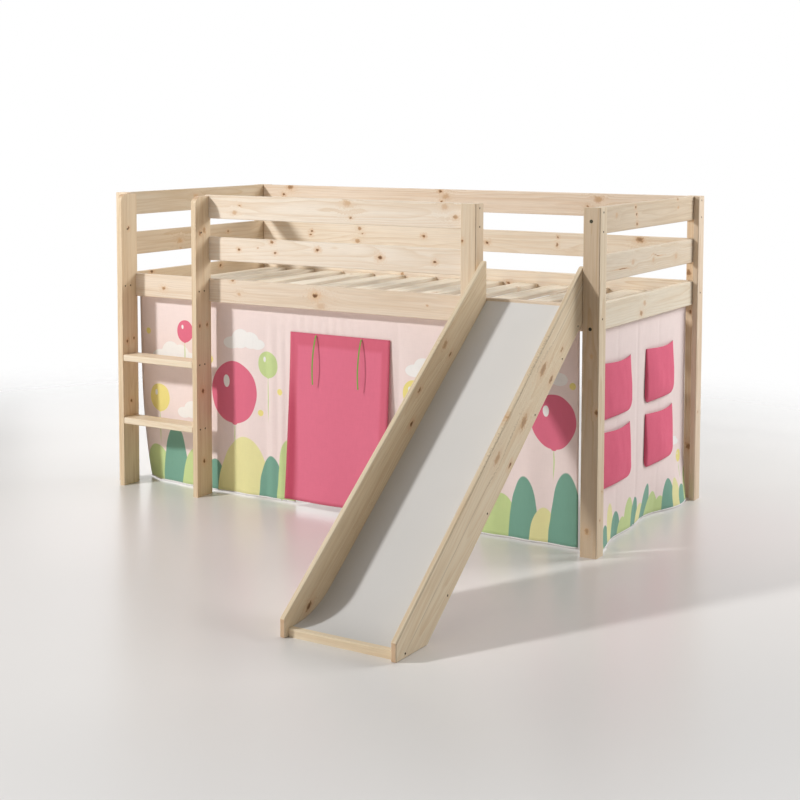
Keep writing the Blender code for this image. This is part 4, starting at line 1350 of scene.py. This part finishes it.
def ladder_screws():
    places = []
    for z in RUNG_SCREW_ZS:
        for y in LADDER_SCREW_YS:
            places += [((LADDER_LEFT, y, z), -1), ((LADDER_RIGHT, y, z), 1)]
    for y, z in (*((y, LOW_SCREW_Z) for y in LADDER_SCREW_YS), LADDER_TOP_SCREW):
        places += [((x, y, z), 1) for x in (LADDER_INNER, LADDER_RIGHT)]
    return places


def slide_screws():
    rows = []
    for share in BATTEN_SHARES:
        y = SLIDE_HEEL_Y + share * (SLIDE_END_Y - SLIDE_HEEL_Y)
        z = share * SLIDE_END_Z
        rows.append((y - BATTEN_RISE * SLOPE_SIN, z + BATTEN_RISE * SLOPE_COS))
    rows.append(FOOT_BAR_SCREW)
    places = []
    for y, z in rows:
        places += [((SLIDE_LEFT, y, z), -1), ((SLIDE_RIGHT, y, z), 1)]
    return places


screws("screws_posts", post_screws(), 1)
screws("screws_guard_post", [((GUARD_POST_RIGHT, POST_SCREW_YS[0], z), 1) for z in RAIL_SCREW_ZS], 2)
screws("screws_ladder", ladder_screws(), 3)
screws("screws_slide", slide_screws(), 4)

# Hems

HEM = 0.0045
HEM_LIFT = 0.0005
HEM_STEP = 0.014


def hem(name, surface, start, end):
    """A flat tape round a curtain's foot, on both of its faces."""
    us = steps(start, end, HEM_STEP)
    points, faces = [], []
    for u in us:
        for lift in (HEM_LIFT, -CLOTH - HEM_LIFT):
            for v in (CURTAIN_BOTTOM, CURTAIN_BOTTOM + HEM):
                points.append(surface(u, v) + normal_of(surface, u, v) * lift)
    last = 4 * (len(us) - 1)
    for a in range(0, last, 4):
        faces += [(a + i, a + i + 4, a + k + 4, a + k) for i, k in ((0, 1), (3, 2), (2, 0), (1, 3))]
    faces += [(0, 1, 3, 2), (last, last + 2, last + 3, last + 1)]
    return ride(new_object(name, points, faces, HEM_CLOTH), "frame")


FRONT_HEMS = [
    hem("hem_front_left", front_point, FRONT_CURTAIN_LEFT, DOORWAY_LEFT),
    hem("hem_front_right", front_point, DOORWAY_RIGHT, FRONT_CURTAIN_RIGHT),
]
END_HEM = hem("hem_end", end_point, END_CURTAIN_FRONT, END_CURTAIN_REAR)

# Studio

SOFT = (1.0, 0.91, 0.82)
WARM = (1.0, 0.98, 0.95)
PLAIN = (1.0, 1.0, 1.0)
# The key lamp: the way its light goes, in degrees, from how far and at what
KEY_TURN = 34.6
KEY_FALL = 29.9
KEY_AWAY = 6.07
KEY_TARGET = (-0.3, 0.2, 0.7)
KEY_SIZE = 0.60
KEY_POWER = 260
# The other lamps: place, target, size, power and colour
LAMPS = {
    "rear_right": ((3.6, 3.4, 3.0), (0.3, 0.6, 0.4), 2.5, 182, PLAIN),
    "top": ((0.0, 0.8, 4.5), (0.0, 0.5, 0.0), 3.0, 35, WARM),
    "front": ((-1.2, -4.6, 0.6), (-0.1, 0.0, 0.4), 3.0, 31, SOFT),
    "wall": ((-5.0, 5.5, 1.3), (-0.5, 0.5, 0.2), 3.0, 19, PLAIN),
}
FILL_STRENGTH = 0.088
WHITE = (1.0, 1.0, 1.0, 1.0)

FLOOR_RADIUS = 14.0
FLOOR_RINGS = 24
FLOOR_SPOKES = 96
FLOOR_DULL = linear(0.895, 0.885, 0.875)
FLOOR_PALE = linear(0.905, 0.895, 0.885)
# How far from the bed's middle the floor begins to fade into white, and where it is gone
FADE_START = 1.7
FADE_END = 4.0


def background_rays(t):
    """1 for the rays that see the white background: the camera's, and those of reflections and of glass."""
    path = t.add("LightPath").outputs
    mirrored = t.math("MAXIMUM", path["Is Glossy Ray"], path["Is Transmission Ray"])
    return t.math("MAXIMUM", path["Is Camera Ray"], mirrored)


def floor_material():
    """A pale satin floor that fades into the background far from the bed."""
    material, t, shader, coordinates = new_material("studio_floor")
    colour = t.mix(t.range(t.noise(coordinates, 0.7), 0.3, 0.7), FLOOR_DULL, FLOOR_PALE)
    t.wire(shader, {"Base Color": colour, "Roughness": 0.28, "Specular IOR Level": 0.5})
    far = t.range(t.vector("LENGTH", coordinates), FADE_START, FADE_END)
    gone = t.add("BsdfTransparent").outputs[0]
    blend = t.add("MixShader", {0: t.times(far, background_rays(t)), 1: shader.outputs[0], 2: gone})
    t.wire(material.node_tree.nodes["Material Output"], {"Surface": blend.outputs[0]})
    return material


def make_floor():
    """A round floor, in rings of quads about a fan of triangles."""
    points = [Vector((0, 0, 0))]
    for ring in range(1, FLOOR_RINGS + 1):
        for spoke in range(FLOOR_SPOKES):
            angle = 2 * math.pi * spoke / FLOOR_SPOKES
            points.append(Vector((math.cos(angle), math.sin(angle), 0)) * FLOOR_RADIUS * (ring / FLOOR_RINGS))
    faces = []
    for spoke in range(FLOOR_SPOKES):
        a, b = 1 + spoke, 1 + (spoke + 1) % FLOOR_SPOKES
        faces.append((0, a, b))
        for out in range(0, (FLOOR_RINGS - 1) * FLOOR_SPOKES, FLOOR_SPOKES):
            faces.append((a + out, a + out + FLOOR_SPOKES, b + out + FLOOR_SPOKES, b + out))
    new_object("studio_floor", points, faces, floor_material())


def area_light(name, location, target, size, power, colour):
    data = bpy.data.lights.new(name, "AREA")
    data.shape = "DISK"
    data.size = size
    data.energy = power
    data.color = colour
    light = bpy.data.objects.new(name, data)
    light.location = location
    light.rotation_euler = (Vector(target) - Vector(location)).to_track_quat("-Z", "Y").to_euler()
    bpy.context.scene.collection.objects.link(light)


def make_lights():
    turn, fall = math.radians(KEY_TURN), math.radians(KEY_FALL)
    light_way = Vector((math.sin(turn) * math.cos(fall), math.cos(turn) * math.cos(fall), -math.sin(fall)))
    target = Vector(KEY_TARGET)
    area_light("key", target - light_way * KEY_AWAY, target, KEY_SIZE, KEY_POWER, PLAIN)
    for name, lamp in LAMPS.items():
        area_light(name, *lamp)


def make_world():
    """A weak even fill for the bed, and plain white behind it."""
    world = bpy.data.worlds.new("studio")
    bpy.context.scene.world = world
    world.use_nodes = True
    t = Tree(world.node_tree)
    t.tree.nodes.clear()
    fill = t.add("Background", {"Color": WHITE, "Strength": FILL_STRENGTH}).outputs[0]
    white = t.add("Background", {"Color": WHITE, "Strength": 1.0}).outputs[0]
    both = t.add("MixShader", {0: background_rays(t), 1: fill, 2: white})
    t.add("OutputWorld", {"Surface": both.outputs[0]})


make_floor()
make_lights()
make_world()
bpy.context.scene.view_settings.view_transform = "Standard"
